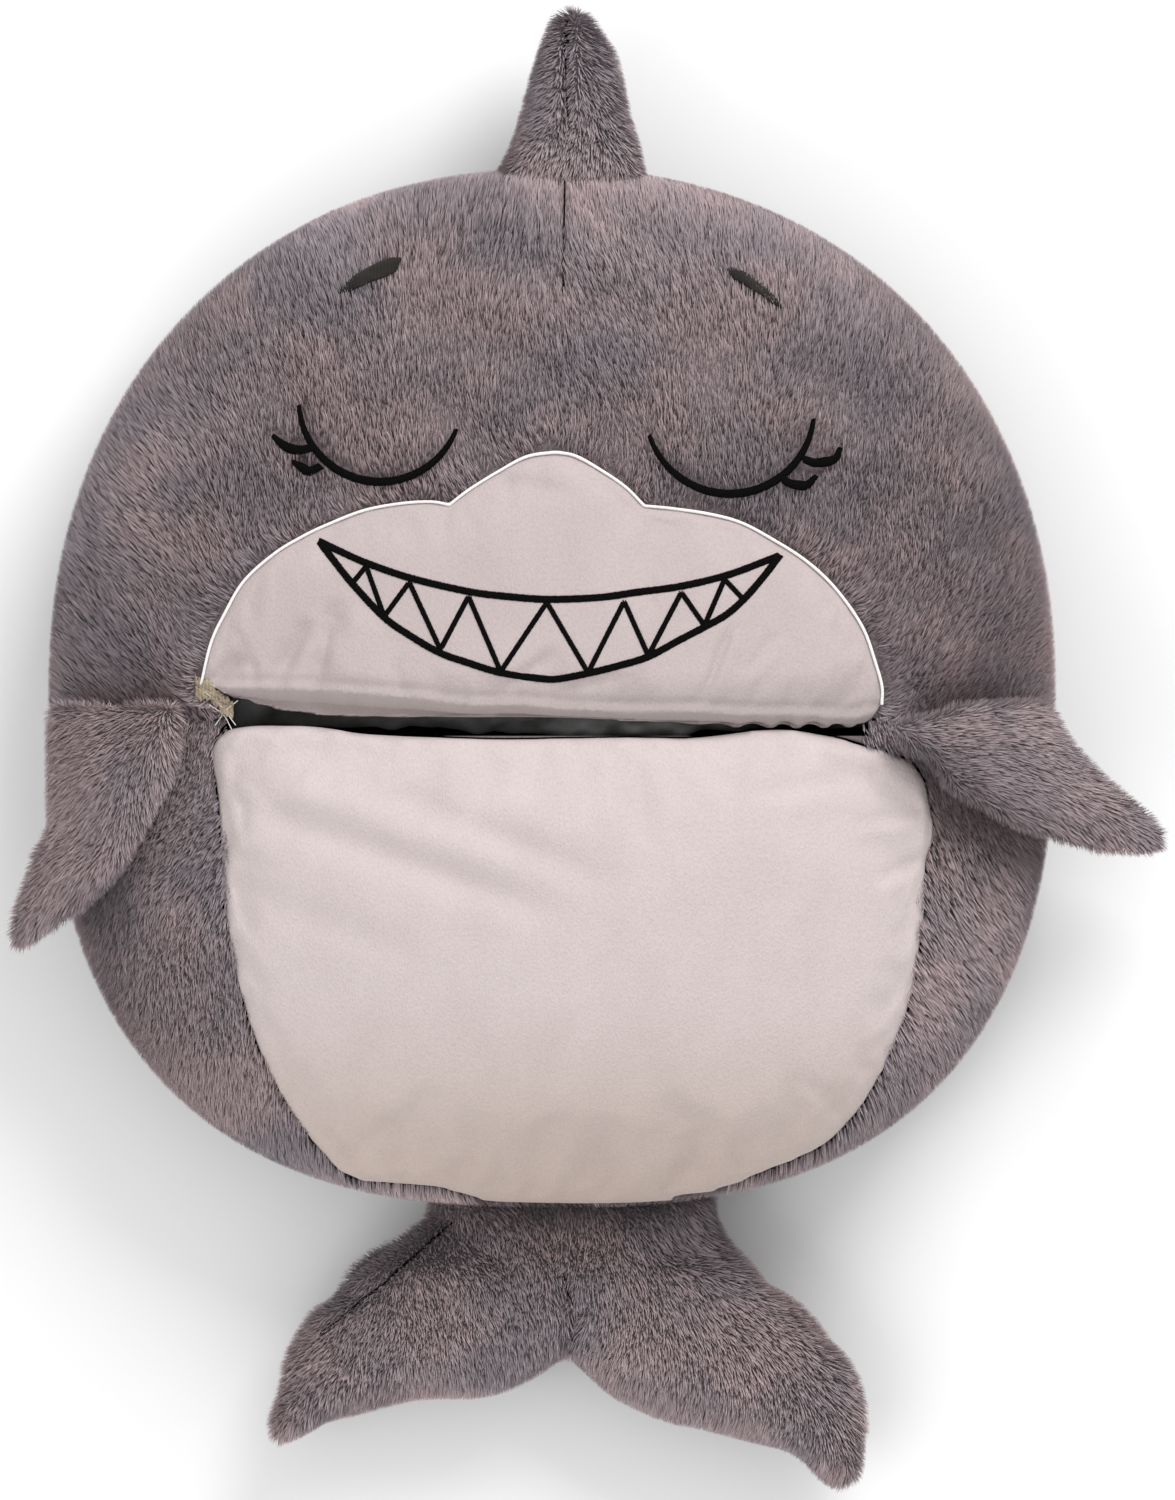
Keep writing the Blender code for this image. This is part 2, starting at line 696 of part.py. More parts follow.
def limb_panel(title, loop, centre, middle, thickness, half):
    """Half of a limb's cloth wall: an outer and an inner half form, joined along their rims."""
    bm = bmesh.new()
    for inset in (0.0, LIMB_WALL):
        form = pillow_mesh(
            title, inset_loop(loop, inset), centre,
            lambda x, y: middle(x, y) - thickness / 2 + inset, middle,
            lambda x, y: middle(x, y) + thickness / 2 - inset, half,
        )
        bm.from_mesh(form)
        bpy.data.meshes.remove(form)
    bm.verts.ensure_lookup_table()
    count = len(bm.verts) // 2
    inner = [face for face in bm.faces if face.verts[0].index >= count]
    bmesh.ops.reverse_faces(bm, faces=inner)
    rims = [edge for edge in bm.edges if edge.is_boundary and edge.verts[0].index < count]
    for edge in rims:
        a, b = (v.index for v in edge.verts)
        bm.faces.new([bm.verts[i] for i in (a, b, b + count, a + count)])
    bmesh.ops.triangulate(bm, faces=bm.faces)
    bmesh.ops.recalc_face_normals(bm, faces=bm.faces)
    return finish_mesh(title, bm)


def limb(name, loop, centre, middle, thickness, parts, fur, filling, parent, names):
    """A stuffed limb: two fur panels that meet at the middle height, and a filling."""
    for half, label in (("top", names[0]), ("bottom", names[1])):
        title = f"{name}_{label}"
        mesh = limb_panel(title, loop, centre, middle, thickness, half)
        add_object(title, mesh, parts, fur, parent)
    title = f"{name}_filling"
    core = thickness / 2 - LIMB_INSET
    mesh = pillow_mesh(
        title, inset_loop(loop, LIMB_INSET), centre,
        lambda x, y: middle(x, y) - core, middle, lambda x, y: middle(x, y) + core,
    )
    add_object(title, mesh, parts, filling, parent)


def flipper_axis(side):
    """A point on a flipper's hinge, which lies just above the body along the root seam."""
    inner, outer = (0.183, 0.2535) if side < 0 else (0.178, 0.2505)
    x = (inner + outer) / 2
    return Vector((side * x, -0.0030 if side < 0 else -0.0015, dome(x, 0.0) + FLIPPER_CLEARANCE))


def flippers(parts, fur, filling):
    for name, side, points, centre in (
        ("left_flipper", -1, LEFT_FLIPPER, LEFT_FLIPPER_CENTRE),
        ("right_flipper", 1, RIGHT_FLIPPER, RIGHT_FLIPPER_CENTRE),
    ):
        def middle(x, y):
            return drape(x, y) + FLIPPER_THICKNESS / 2

        parent = pivot(f"{name}_hinge", flipper_axis(side), parts)
        limb(name, smooth_loop(points, 24), Vector(centre) * MM, middle, FLIPPER_THICKNESS,
             parts, fur, filling, parent, ("top_panel", "under_panel"))


def tail(parts, fur, filling):
    parent = pivot("tail_hinge", TAIL_AXIS, parts)
    limb("tail", smooth_loop(TAIL, 36), Vector(TAIL_CENTRE) * MM, lambda x, y: TAIL_MID_Z,
         TAIL_THICKNESS, parts, fur, filling, parent, ("front_panel", "back_panel"))


def dorsal_fin(parts, tools, fur, filling):
    parent = pivot("fin_hinge", FIN_AXIS, parts)
    loop = smooth_loop(FIN, 24)
    centre = Vector(FIN_CENTRE) * MM

    def form(name, inset):
        return pillow_mesh(
            name, inset_loop(loop, inset), centre,
            lambda x, y: FIN_MID_Z - FIN_THICKNESS / 2 + inset,
            lambda x, y: FIN_MID_Z,
            lambda x, y: FIN_MID_Z + FIN_THICKNESS / 2 - inset,
        )

    hollow = cutter("fin_hollow", form("fin_hollow", LIMB_WALL), tools)
    for side, sign in (("left", -1), ("right", 1)):
        name = f"fin_{side}_panel"
        panel = add_object(name, form(name, 0.0), parts, fur, parent)
        low, high = sorted((FIN_SEAM_X + sign * GAP / 2, FIN_SEAM_X - sign * CUT_X))
        half_cut = block(f"{name}_cut", (low, 0.0, CUT_LOW), (high, CUT_Y, CUT_HIGH), tools)
        boolean(panel, hollow, "DIFFERENCE")
        boolean(panel, half_cut, "DIFFERENCE")
    add_object("fin_filling", form("fin_filling", LIMB_INSET), parts, filling, parent)


def main():
    clear_scene()
    parts = new_collection("plush_shark")
    tools = new_collection("cutters")
    fur = material("grey_plush", (0.20, 0.165, 0.172), 0.95)
    smooth = material("pale_velour", (0.71, 0.60, 0.59), 0.85)
    cord = material("pale_thread", (0.86, 0.82, 0.80), 0.55)
    thread = material("black_thread", (0.012, 0.011, 0.011), 0.5)
    felt = material("dark_felt", (0.045, 0.038, 0.036), 0.9)
    lining = material("grey_lining", (0.13, 0.135, 0.13), 0.8)
    filling = material("white_filling", (0.85, 0.85, 0.84), 0.95)
    sack = material("sack_cloth", (0.24, 0.25, 0.26), 0.85)

    head(parts, tools, fur, filling, lining)
    muzzle(parts, tools, smooth, cord)
    eye("left_eye_embroidery", LEFT_EYE_ARC, LEFT_LASHES, parts, tools, thread)
    eye("right_eye_embroidery", RIGHT_EYE_ARC, RIGHT_LASHES, parts, tools, thread)
    brow("left_brow_patch", LEFT_BROW, parts, felt)
    brow("right_brow_patch", RIGHT_BROW, parts, felt)
    grin(parts, tools, thread)
    pouch(parts, tools, fur, lining)
    belly_flap(parts, smooth, filling, lining, pivot("belly_hinge", BELLY_AXIS, parts))
    folded_sack(parts, tools, sack, lining)
    flippers(parts, fur, filling)
    tail(parts, fur, filling)
    dorsal_fin(parts, tools, fur, filling)


main()
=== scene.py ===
"""Plush shark: the finished surfaces of a round pillow toy that lies on its back.

Metres, +Z up.  Fur, velour, embroidery, linings and padding are made round the solid model.
"""

import logging
import math
from collections.abc import Callable, Sequence
from dataclasses import dataclass
from enum import Enum

import bmesh
import bpy
import numpy as np
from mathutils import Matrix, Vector
from mathutils.bvhtree import BVHTree


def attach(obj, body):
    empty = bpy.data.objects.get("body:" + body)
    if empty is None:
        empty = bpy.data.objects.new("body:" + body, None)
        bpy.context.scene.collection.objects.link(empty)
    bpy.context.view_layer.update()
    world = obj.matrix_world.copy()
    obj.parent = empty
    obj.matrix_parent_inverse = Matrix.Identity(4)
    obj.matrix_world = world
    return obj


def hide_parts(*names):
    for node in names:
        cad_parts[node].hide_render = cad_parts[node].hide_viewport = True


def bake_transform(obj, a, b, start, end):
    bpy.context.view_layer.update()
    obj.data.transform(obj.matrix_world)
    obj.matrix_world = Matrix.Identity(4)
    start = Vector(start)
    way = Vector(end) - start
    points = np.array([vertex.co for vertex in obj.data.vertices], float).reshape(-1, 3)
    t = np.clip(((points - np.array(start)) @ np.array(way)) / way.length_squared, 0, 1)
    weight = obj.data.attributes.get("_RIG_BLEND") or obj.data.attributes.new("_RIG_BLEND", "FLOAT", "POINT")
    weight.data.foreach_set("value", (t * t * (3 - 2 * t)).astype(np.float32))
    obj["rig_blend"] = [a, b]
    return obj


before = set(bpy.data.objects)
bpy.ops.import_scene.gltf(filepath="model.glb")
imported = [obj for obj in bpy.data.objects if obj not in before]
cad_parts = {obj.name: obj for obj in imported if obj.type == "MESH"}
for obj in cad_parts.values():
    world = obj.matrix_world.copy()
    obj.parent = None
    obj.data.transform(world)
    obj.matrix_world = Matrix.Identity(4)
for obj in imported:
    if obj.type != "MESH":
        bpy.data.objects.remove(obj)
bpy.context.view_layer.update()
log = logging.getLogger("plush_shark")

MM = 0.001
Array = np.ndarray
Height = Callable[[Array, Array], Array]
Plan = Sequence[tuple[float, float]]
Colour = tuple[float, float, float]
Socket = bpy.types.NodeSocket
Thing = bpy.types.Object
Material = bpy.types.Material
Held = Callable[[Array], Array]


class Body(Enum):
    """The moving bodies of the toy."""

    BODY = "body"
    BELLY = "belly_flap"
    LEFT_FLIPPER = "left_flipper"
    RIGHT_FLIPPER = "right_flipper"
    FIN = "dorsal_fin"
    TAIL = "tail"


class Slot(Enum):
    """The material slots that a finish may fill."""

    FUR = "grey_plush"
    VELOUR = "pale_velour"
    PALE_THREAD = "pale_thread"
    BLACK_THREAD = "black_thread"
    FELT = "dark_felt"
    LINING = "grey_lining"
    SACK = "sack_cloth"


# ---- finishes ------------------------------------------------------------------------

# The mix node's colour sockets, by number.
MIX_FIRST, MIX_SECOND, MIX_RESULT = 6, 7, 2


class Shader:
    """A node material in the making."""

    def __init__(self, name: str, roughness: float, specular: float = 0.3) -> None:
        """Starts a material.

        Args:
            name: The material's name.
            roughness: The surface's roughness.
            specular: The surface's specular level.
        """
        self.material = bpy.data.materials.new(name)
        self.material.use_nodes = True
        self.tree = self.material.node_tree
        self.surface = self.tree.nodes["Principled BSDF"]
        self.set("Roughness", roughness)
        self.set("Specular IOR Level", specular)

    def set(self, socket: str, value: float | tuple[float, ...]) -> None:
        """Sets a plain value on the surface shader."""
        self.surface.inputs[socket].default_value = value

    def node(self, kind: str, **values: object) -> bpy.types.Node:
        """Adds a node.

        Args:
            kind: The node's type.
            **values: Properties, or input values for names that are sockets.

        Returns:
            The new node.
        """
        made = self.tree.nodes.new(kind)
        for key, value in values.items():
            name = key.replace("_", " ").title()
            if hasattr(made, key):
                setattr(made, key, value)
            else:
                made.inputs[name].default_value = value
        return made

    def link(self, start: Socket, end: Socket) -> None:
        """Joins two sockets."""
        self.tree.links.new(start, end)

    def place(self) -> Socket:
        """Object coordinates, in metres."""
        return self.node("ShaderNodeTexCoord").outputs["Object"]

    def noise(self, scale: float, detail: float = 2.0, stretch: tuple[float, ...] = (1, 1, 1)
              ) -> Socket:
        """A noise value in object space.

        Args:
            scale: Waves in a metre.
            detail: Octaves of detail.
            stretch: A factor on the scale for each axis.

        Returns:
            The noise's value socket.
        """
        mapping = self.node("ShaderNodeMapping")
        mapping.inputs["Scale"].default_value = stretch
        self.link(self.place(), mapping.inputs["Vector"])
        texture = self.node("ShaderNodeTexNoise", scale=scale, detail=detail)
        self.link(mapping.outputs["Vector"], texture.inputs["Vector"])
        return texture.outputs["Fac"]

    def ramp(self, value: Socket, stops: Sequence[tuple[float, float | Colour]]) -> Socket:
        """Colours for a value.

        Args:
            value: The socket that drives the ramp.
            stops: Positions and their colours, or one number for a grey.

        Returns:
            The ramp's colour socket.
        """
        made = self.node("ShaderNodeValToRGB")
        elements = made.color_ramp.elements
        while len(elements) < len(stops):
            elements.new(0.5)
        for element, (position, colour) in zip(elements, stops):
            element.position = position
            element.color = (*(colour if isinstance(colour, tuple) else (colour,) * 3), 1.0)
        self.link(value, made.inputs["Fac"])
        return made.outputs["Color"]

    def times(self, first: Socket, second: Socket) -> Socket:
        """One colour multiplied by another."""
        made = self.node("ShaderNodeMix", data_type="RGBA", blend_type="MULTIPLY")
        made.inputs[0].default_value = 1.0
        self.link(first, made.inputs[MIX_FIRST])
        self.link(second, made.inputs[MIX_SECOND])
        return made.outputs[MIX_RESULT]

    def attribute(self, name: str) -> Socket:
        """A value stored on the mesh."""
        return self.node("ShaderNodeAttribute", attribute_name=name).outputs["Fac"]

    def colour(self, socket: Socket) -> None:
        """Uses a colour on the surface."""
        self.link(socket, self.surface.inputs["Base Color"])

    def bump(self, value: Socket, depth: float, strength: float) -> None:
        """Raises the surface.

        Args:
            value: The height, 0 to 1.
            depth: The full height in metres.
            strength: The bump's strength.
        """
        made = self.node("ShaderNodeBump")
        made.inputs["Distance"].default_value = depth
        made.inputs["Strength"].default_value = strength
        self.link(value, made.inputs["Height"])
        self.link(made.outputs["Normal"], self.surface.inputs["Normal"])


@dataclass(frozen=True)
class FurFinish:
    """Plush pile: painted shade towards the root of each tuft, lightest at the tip, with brushed patches
    between two greys.
    """

    pink: Colour = (0.475, 0.378, 0.385)
    blue: Colour = (0.35, 0.303, 0.325)

    def make(self) -> Material:
        """Builds the pile's material."""
        shader = Shader("plush_pile", 0.92, 0.12)
        shader.set("Sheen Weight", 0.12)
        shader.set("Sheen Roughness", 0.6)
        patches = shader.ramp(shader.noise(17.0, 2.0), [(0.38, self.blue), (0.60, self.pink)])
        # The tint is random per tuft and per clump; it also carries the coat's painted shade.
        tint = shader.attribute("tint")
        bright = shader.ramp(tint, [(0.0, (0.64, 0.64, 0.66)), (0.3, (0.87, 0.87, 0.88)),
                                    (1.0, (1.16, 1.15, 1.15))])
        coat = shader.times(patches, bright)
        # Painted shade: each tuft is darker towards its root, where the pile shades itself, and lightest at
        # its tip.
        along = shader.attribute("along")
        tip = shader.ramp(along, [(0.0, (0.56, 0.55, 0.56)), (0.6, 0.97), (1.0, 1.14)])
        shader.colour(shader.times(coat, tip))
        return shader.material


@dataclass(frozen=True)
class BackingFinish:
    """The knitted backing that shows between the tufts."""

    dark: Colour = (0.13, 0.106, 0.112)
    light: Colour = (0.21, 0.172, 0.18)

    def make(self) -> Material:
        """Builds the backing's material."""
        shader = Shader("plush_backing", 0.95, 0.1)
        grain = shader.noise(700.0, 3.0)
        shader.colour(shader.ramp(grain, [(0.3, self.dark), (0.75, self.light)]))
        shader.bump(grain, 0.0008, 0.7)
        return shader.material


@dataclass(frozen=True)
class VelourFinish:
    """Short pale pile, brushed into faint patches, darker from high_y down to low_y: painted shade, on the
    belly partly the velour's own tan.
    """

    name: str = "pale_velour_pile_painted_shade"
    # The ramp's ends: on the belly the darker low end is partly the velour's own tan and partly painted
    # shade of the lower belly.
    low: Colour = (0.48, 0.38, 0.32)
    high: Colour = (0.565, 0.492, 0.486)
    low_y: float = -0.285
    high_y: float = -0.15

    def make(self) -> Material:
        """Builds the velour's material."""
        shader = Shader(self.name, 0.88, 0.2)
        shader.set("Sheen Weight", 0.35)
        shader.set("Sheen Roughness", 0.45)
        split = shader.node("ShaderNodeSeparateXYZ")
        shader.link(shader.place(), split.inputs[0])
        run = shader.node("ShaderNodeMapRange")
        run.inputs["From Min"].default_value = self.low_y
        run.inputs["From Max"].default_value = self.high_y
        shader.link(split.outputs["Y"], run.inputs["Value"])
        # Painted shade: the ramp darkens the pile towards low_y.
        base = shader.ramp(run.outputs[0], [(0.0, self.low), (1.0, self.high)])
        nap = shader.noise(45.0, 4.0, (1.0, 0.6, 1.0))
        brushed = shader.ramp(nap, [(0.3, (0.965, 0.96, 0.955)), (0.7, 1.02)])
        fine = shader.noise(1100.0, 3.0, (1.0, 0.6, 1.0))
        flecks = shader.ramp(fine, [(0.25, (0.90, 0.895, 0.89)), (0.6, 1.02)])
        painted_shade_tone = shader.times(base, brushed)
        shader.colour(shader.times(painted_shade_tone, flecks))
        shader.bump(fine, 0.0009, 0.55)
        return shader.material


@dataclass(frozen=True)
class ThreadFinish:
    """Embroidery thread with a silky shine and fine strands."""

    name: str
    dark: Colour
    light: Colour
    roughness: float = 0.45
    shine: float = 0.15

    def make(self) -> Material:
        """Builds the thread's material."""
        shader = Shader(self.name, self.roughness, self.shine)
        strands = shader.noise(1800.0, 2.0)
        shader.colour(shader.ramp(strands, [(0.3, self.dark), (0.7, self.light)]))
        shader.bump(strands, 0.0002, 0.4)
        return shader.material


@dataclass(frozen=True)
class ClothFinish:
    """A woven cloth with a visible weave and soft stains."""

    name: str
    dark: Colour
    light: Colour
    weave: float = 1100.0

    def make(self) -> Material:
        """Builds the cloth's material."""
        shader = Shader(self.name, 0.85, 0.2)
        shader.set("Sheen Weight", 0.06)
        worn = shader.noise(60.0, 3.0)
        wave = shader.node("ShaderNodeTexWave", wave_type="BANDS", scale=self.weave / 6.0)
        wave.inputs["Distortion"].default_value = 1.5
        shader.link(shader.place(), wave.inputs["Vector"])
        base = shader.ramp(worn, [(0.3, self.dark), (0.7, self.light)])
        rows = shader.ramp(wave.outputs["Fac"], [(0.0, 0.8), (1.0, 1.05)])
        shader.colour(shader.times(base, rows))
        shader.bump(wave.outputs["Fac"], 0.0003, 0.5)
        return shader.material


class Finishes:
    """Every finish of the toy, each made once."""

    def __init__(self) -> None:
        """Builds the materials."""
        self.made: dict[str, Material] = {
            "fur": FurFinish().make(),
            "backing": BackingFinish().make(),
            "belly": VelourFinish().make(),
            # The muzzle's velour has painted shade: darker from y=0.010 down to y=-0.02, over the lip rolled
            # under the hem.
            "muzzle": VelourFinish(
                "muzzle_velour_painted_shade", (0.33, 0.283, 0.275), (0.47, 0.403, 0.398), -0.02, 0.010
            ).make(),
            "edge": ThreadFinish("edge_thread", (0.80, 0.77, 0.76), (0.93, 0.91, 0.90)).make(),
            "black": ThreadFinish("black_embroidery", (0.0015, 0.0013, 0.0013),
                                  (0.006, 0.0055, 0.0055), 0.7, 0.03).make(),
            "felt": ClothFinish("brow_felt", (0.008, 0.0066, 0.0058), (0.024, 0.020, 0.017)).make(),
            "lining": ClothFinish("mouth_lining", (0.045, 0.047, 0.044),
                                  (0.12, 0.12, 0.12), 5200.0).make(),
            "sack": ClothFinish("sack_cloth", (0.20, 0.21, 0.22), (0.28, 0.29, 0.30)).make(),
            "fray": ClothFinish("frayed_backing", (0.27, 0.215, 0.15), (0.43, 0.35, 0.25)).make(),
        }

    def __getitem__(self, name: str) -> Material:
        """The finish of that name."""
        return self.made[name]


# ---- lines, waves and forms ----------------------------------------------------------


def smooth_line(points: Plan, spacing: float, closed: bool = False) -> Array:
    """An even smooth line through plan points.

    Args:
        points: The points, in millimetres.
        spacing: The wanted distance between the line's points, in metres.
        closed: True for a loop, which comes out counter-clockwise.

    Returns:
        The line's points in metres, without a repeat of the first for a loop.
    """
    given = np.array(points, float) * MM
    if closed:
        after = np.roll(given, -1, axis=0)
        if np.sum(given[:, 0] * after[:, 1] - given[:, 1] * after[:, 0]) < 0:
            given = given[::-1]
        padded = np.vstack([given[-1:], given, given[:2]])
    else:
        first, last = 2 * given[0] - given[1], 2 * given[-1] - given[-2]
        padded = np.vstack([first, given, last])
    dense = []
    for k in range(1, len(padded) - 2):
        a, b, c, d = padded[k - 1 : k + 3]
        t = np.linspace(0, 1, 12, endpoint=False)[:, None]
        dense.append(0.5 * (2 * b + (c - a) * t + (2 * a - 5 * b + 4 * c - d) * t**2
                            + (3 * b - a - 3 * c + d) * t**3))
    dense.append(padded[-2:-1])
    return even_line(np.vstack(dense), spacing, closed)


def muzzle_top(spacing: float) -> Array:
    """The muzzle's upper edge, with its two sharp inward corners."""
    arcs = [smooth_line(arc, spacing) for arc in MUZZLE_ARCS]
    return np.vstack([arc[:-1] for arc in arcs[:-1]] + arcs[-1:])


def muzzle_outline(spacing: float) -> Array:
    """The whole muzzle's outline, counter-clockwise."""
    lip = smooth_line([MUZZLE_ARCS[-1][-1], *MUZZLE_LIP, MUZZLE_ARCS[0][0]], spacing)
    return np.vstack([muzzle_top(spacing), lip[1:-1]])[::-1]


def even_line(line: Array, spacing: float, closed: bool = False) -> Array:
    """The line with evenly spaced points; a loop's last point is its first and is left out."""
    reach = np.concatenate([[0], np.cumsum(np.linalg.norm(np.diff(line, axis=0), axis=1))])
    count = max(2, round(reach[-1] / spacing))
    at = np.linspace(0, reach[-1], count + 1)
    if closed:
        at = at[:-1]
    return np.stack([np.interp(at, reach, line[:, k]) for k in range(line.shape[1])], axis=1)


def inset_loop(loop: Array, distance: float) -> Array:
    """The counter-clockwise loop moved inwards."""
    along = np.roll(loop, -1, axis=0) - np.roll(loop, 1, axis=0)
    along /= np.linalg.norm(along, axis=1)[:, None]
    return loop + np.stack([-along[:, 1], along[:, 0]], axis=1) * distance


def inside(loop: Array, x: Array, y: Array) -> Array:
    """True for the plan points inside the loop."""
    found = np.zeros(np.shape(x), bool)
    for (ax, ay), (bx, by) in zip(loop, np.roll(loop, -1, axis=0)):
        crosses = (ay > y) != (by > y)
        at = (bx - ax) * (y - ay) / np.where(by == ay, 1e-12, by - ay) + ax
        found ^= crosses & (x < at)
    return found


def nearest(line: Array, x: Array, y: Array) -> tuple[Array, Array]:
    """The distance of plan points to a line's points, and the nearest point's number."""
    gap = np.hypot(x[:, None] - line[None, :, 0], y[:, None] - line[None, :, 1])
    number = gap.argmin(axis=1)
    return gap[np.arange(len(x)), number], number


class Waves:
    """Smooth unevenness: a sum of plane waves with seeded directions."""

    def __init__(self, seed: int, length: float, count: int = 14) -> None:
        """Draws the waves.

        Args:
            seed: The random seed.
            length: The typical wave length in metres.
            count: How many waves are summed.
        """
        draw = np.random.default_rng(seed)
        way = draw.normal(size=(count, 3))
        way /= np.linalg.norm(way, axis=1)[:, None]
        self.way = way * (math.tau / (length * draw.uniform(0.6, 1.7, count)))[:, None]
        self.phase = draw.uniform(0, math.tau, count)

    def at(self, points: Array) -> Array:
        """The unevenness at points, about -1 to 1."""
        total = np.sin(points @ self.way.T + self.phase).sum(axis=1)
        return total / math.sqrt(len(self.phase))


@dataclass(frozen=True)
class BodyForm:
    """The round body's shape."""

    half_width: float = 0.2535
    top_reach: float = 0.263
    bottom_reach: float = 0.2595
    top_power: float = 2.15
    bottom_power: float = 2.6
    rim_z: float = 0.060
    crown_z: float = 0.155
    ease: float = 0.9
    back_depth: float = 1.35

    def share(self, x: Array, y: Array) -> Array:
        """0 at the body's centre, 1 on its outline."""
        power = np.where(y >= 0, self.top_power, self.bottom_power)
        reach = np.where(y >= 0, self.top_reach, self.bottom_reach)
        return (np.abs(x / self.half_width) ** power + np.abs(y / reach) ** power) ** (1 / power)

    def dome(self, x: Array, y: Array) -> Array:
        """The height of the body's front."""
        rise = np.maximum(0, 1 - self.share(x, y) ** 2) ** (self.ease / 2)
        return self.rim_z + (self.crown_z - self.rim_z) * rise

    def normal(self, x: Array, y: Array) -> Array:
        """The front's outward directions."""
        step = 0.001
        slope_x = (self.dome(x + step, y) - self.dome(x - step, y)) / (2 * step)
        slope_y = (self.dome(x, y + step) - self.dome(x, y - step)) / (2 * step)
        out = np.stack([-slope_x, -slope_y, np.ones_like(slope_x)], axis=-1)
        return out / np.linalg.norm(out, axis=-1)[..., None]

    def loop(self, count: int, inset: float) -> Array:
        """The outline, moved inwards."""
        angle = np.arange(count) * math.tau / count
        along = np.stack([np.cos(angle), np.sin(angle)], axis=1)
        reach = 1 / self.share(along[:, 0], along[:, 1])
        return along * (reach - inset)[:, None]


FORM = BodyForm()


def flat_level(height: float) -> Height:
    """A level plane."""
    return lambda x, y: np.full_like(x, height)


def above_dome(lift: float) -> Height:
    """The body's front, raised by the lift."""
    return lambda x, y: FORM.dome(x, y) + lift


def pinned_rim(loop: Array, depth: float, margin: float) -> Held:
    """Pins the underside and the rim of a panel on the body's front.

    Args:
        loop: The panel's outline.
        depth: Points deeper than this below the front are held.
        margin: Points nearer than this to the outline are held.

    Returns:
        The pinning of points, 0 or 1.
    """
    def held(points: Array) -> Array:
        x, y, z = points.T
        off, _ = nearest(loop, x, y)
        return np.where((z < FORM.dome(x, y) - depth) | (off < margin), 1.0, 0.0)

    return held


def loop_points(loop: Array, around: Array) -> Array:
    """The loop's points at shares of the way round."""
    at = around * len(loop)
    k = np.floor(at).astype(int) % len(loop)
    share = (at - np.floor(at))[:, None]
    return loop[k] * (1 - share) + loop[(k + 1) % len(loop)] * share


@dataclass(frozen=True)
class Crease:
    """A soft fold in a padded panel, all in millimetres."""

    start: tuple[float, float]
    end: tuple[float, float]
    width: float
    depth: float

    def drop(self, x: Array, y: Array) -> Array:
        """How far the fold moves the surface up at plan points in metres."""
        a, b = np.array(self.start) * MM, np.array(self.end) * MM
        width, run = self.width * MM, b - a
        length = np.hypot(*run)
        t = ((x - a[0]) * run[0] + (y - a[1]) * run[1]) / length**2
        off = ((x - a[0]) * -run[1] + (y - a[1]) * run[0]) / length
        fade = np.clip(t * 5, 0, 1) * np.clip((1 - t) * 3, 0, 1)
        ridge = 0.45 * np.exp(-(((off - 1.9 * width) / (1.5 * width)) ** 2))
        return self.depth * MM * fade * (ridge - np.exp(-((off / width) ** 2)))


# ---- mesh tools ----------------------------------------------------------------------


def new_object(name: str, verts: Array, faces: Sequence[Sequence[int]],
               finish: Material | None = None) -> Thing:
    """A mesh object in the scene.

    Args:
        name: The piece's name.
        verts: Its points.
        faces: Its faces.
        finish: Its material.

    Returns:
        The new object, shaded smooth.
    """
    mesh = bpy.data.meshes.new(name)
    mesh.from_pydata([tuple(v) for v in verts], [], [tuple(f) for f in faces])
    mesh.update()
    mesh.shade_smooth()
    return link_mesh(name, mesh, finish)


def link_mesh(name: str, mesh: bpy.types.Mesh, finish: Material | None = None) -> Thing:
    """Puts a mesh in the scene as an object."""
    made = bpy.data.objects.new(name, mesh)
    bpy.context.scene.collection.objects.link(made)
    if finish:
        made.data.materials.clear()
        made.data.materials.append(finish)
    return made


def coordinates(thing: Thing) -> Array:
    """The object's points."""
    found = np.empty(len(thing.data.vertices) * 3)
    thing.data.vertices.foreach_get("co", found)
    return found.reshape(-1, 3)


def move_points(thing: Thing, points: Array) -> None:
    """Writes the object's points."""
    thing.data.vertices.foreach_set("co", points.astype(np.float32).ravel())
    thing.data.update()


def raise_points(thing: Thing, points: Array, lift: Array | float, floor: float) -> None:
    """Lifts the points, nowhere under a floor, and writes them to the object."""
    points[:, 2] = np.maximum(points[:, 2] + lift, floor)
    move_points(thing, points)


def settled(thing: Thing) -> Thing:
    """The object with its modifiers applied."""
    graph = bpy.context.evaluated_depsgraph_get()
    mesh = bpy.data.meshes.new_from_object(thing.evaluated_get(graph), depsgraph=graph)
    mesh.name = thing.name
    thing.modifiers.clear()
    old = thing.data
    thing.data = mesh
    bpy.data.meshes.remove(old)
    return thing


def cut(thing: Thing, tool: Thing) -> None:
    """Cuts the tool out of the object, and removes the tool."""
    step = thing.modifiers.new("cut", "BOOLEAN")
    step.operation = "DIFFERENCE"
    step.object = tool
    settled(thing)
    bpy.data.objects.remove(tool)


def box_tool(low: Sequence[float], high: Sequence[float]) -> Thing:
    """A box between two corners, for cutting."""
    bm = bmesh.new()
    bmesh.ops.create_cube(bm, size=1.0)
    start, end = Vector(low), Vector(high)
    for vert in bm.verts:
        vert.co = (start + end) / 2 + Vector(a * b for a, b in zip(vert.co, end - start))
    mesh = bpy.data.meshes.new("box_tool")
    bm.to_mesh(mesh)
    bm.free()
    return link_mesh("box_tool", mesh)


def prism_tool(loop: Array, low: float, high: float) -> Thing:
    """An upright prism on a plan loop, for cutting."""
    count = len(loop)
    verts = np.vstack([np.column_stack([loop, np.full(count, z)]) for z in (low, high)])
    ring = np.arange(count)
    after = (ring + 1) % count
    faces = [list(ring[::-1]), list(ring + count)]
    faces += [[i, j, j + count, i + count] for i, j in zip(ring, after)]
    return new_object("prism_tool", verts, faces)


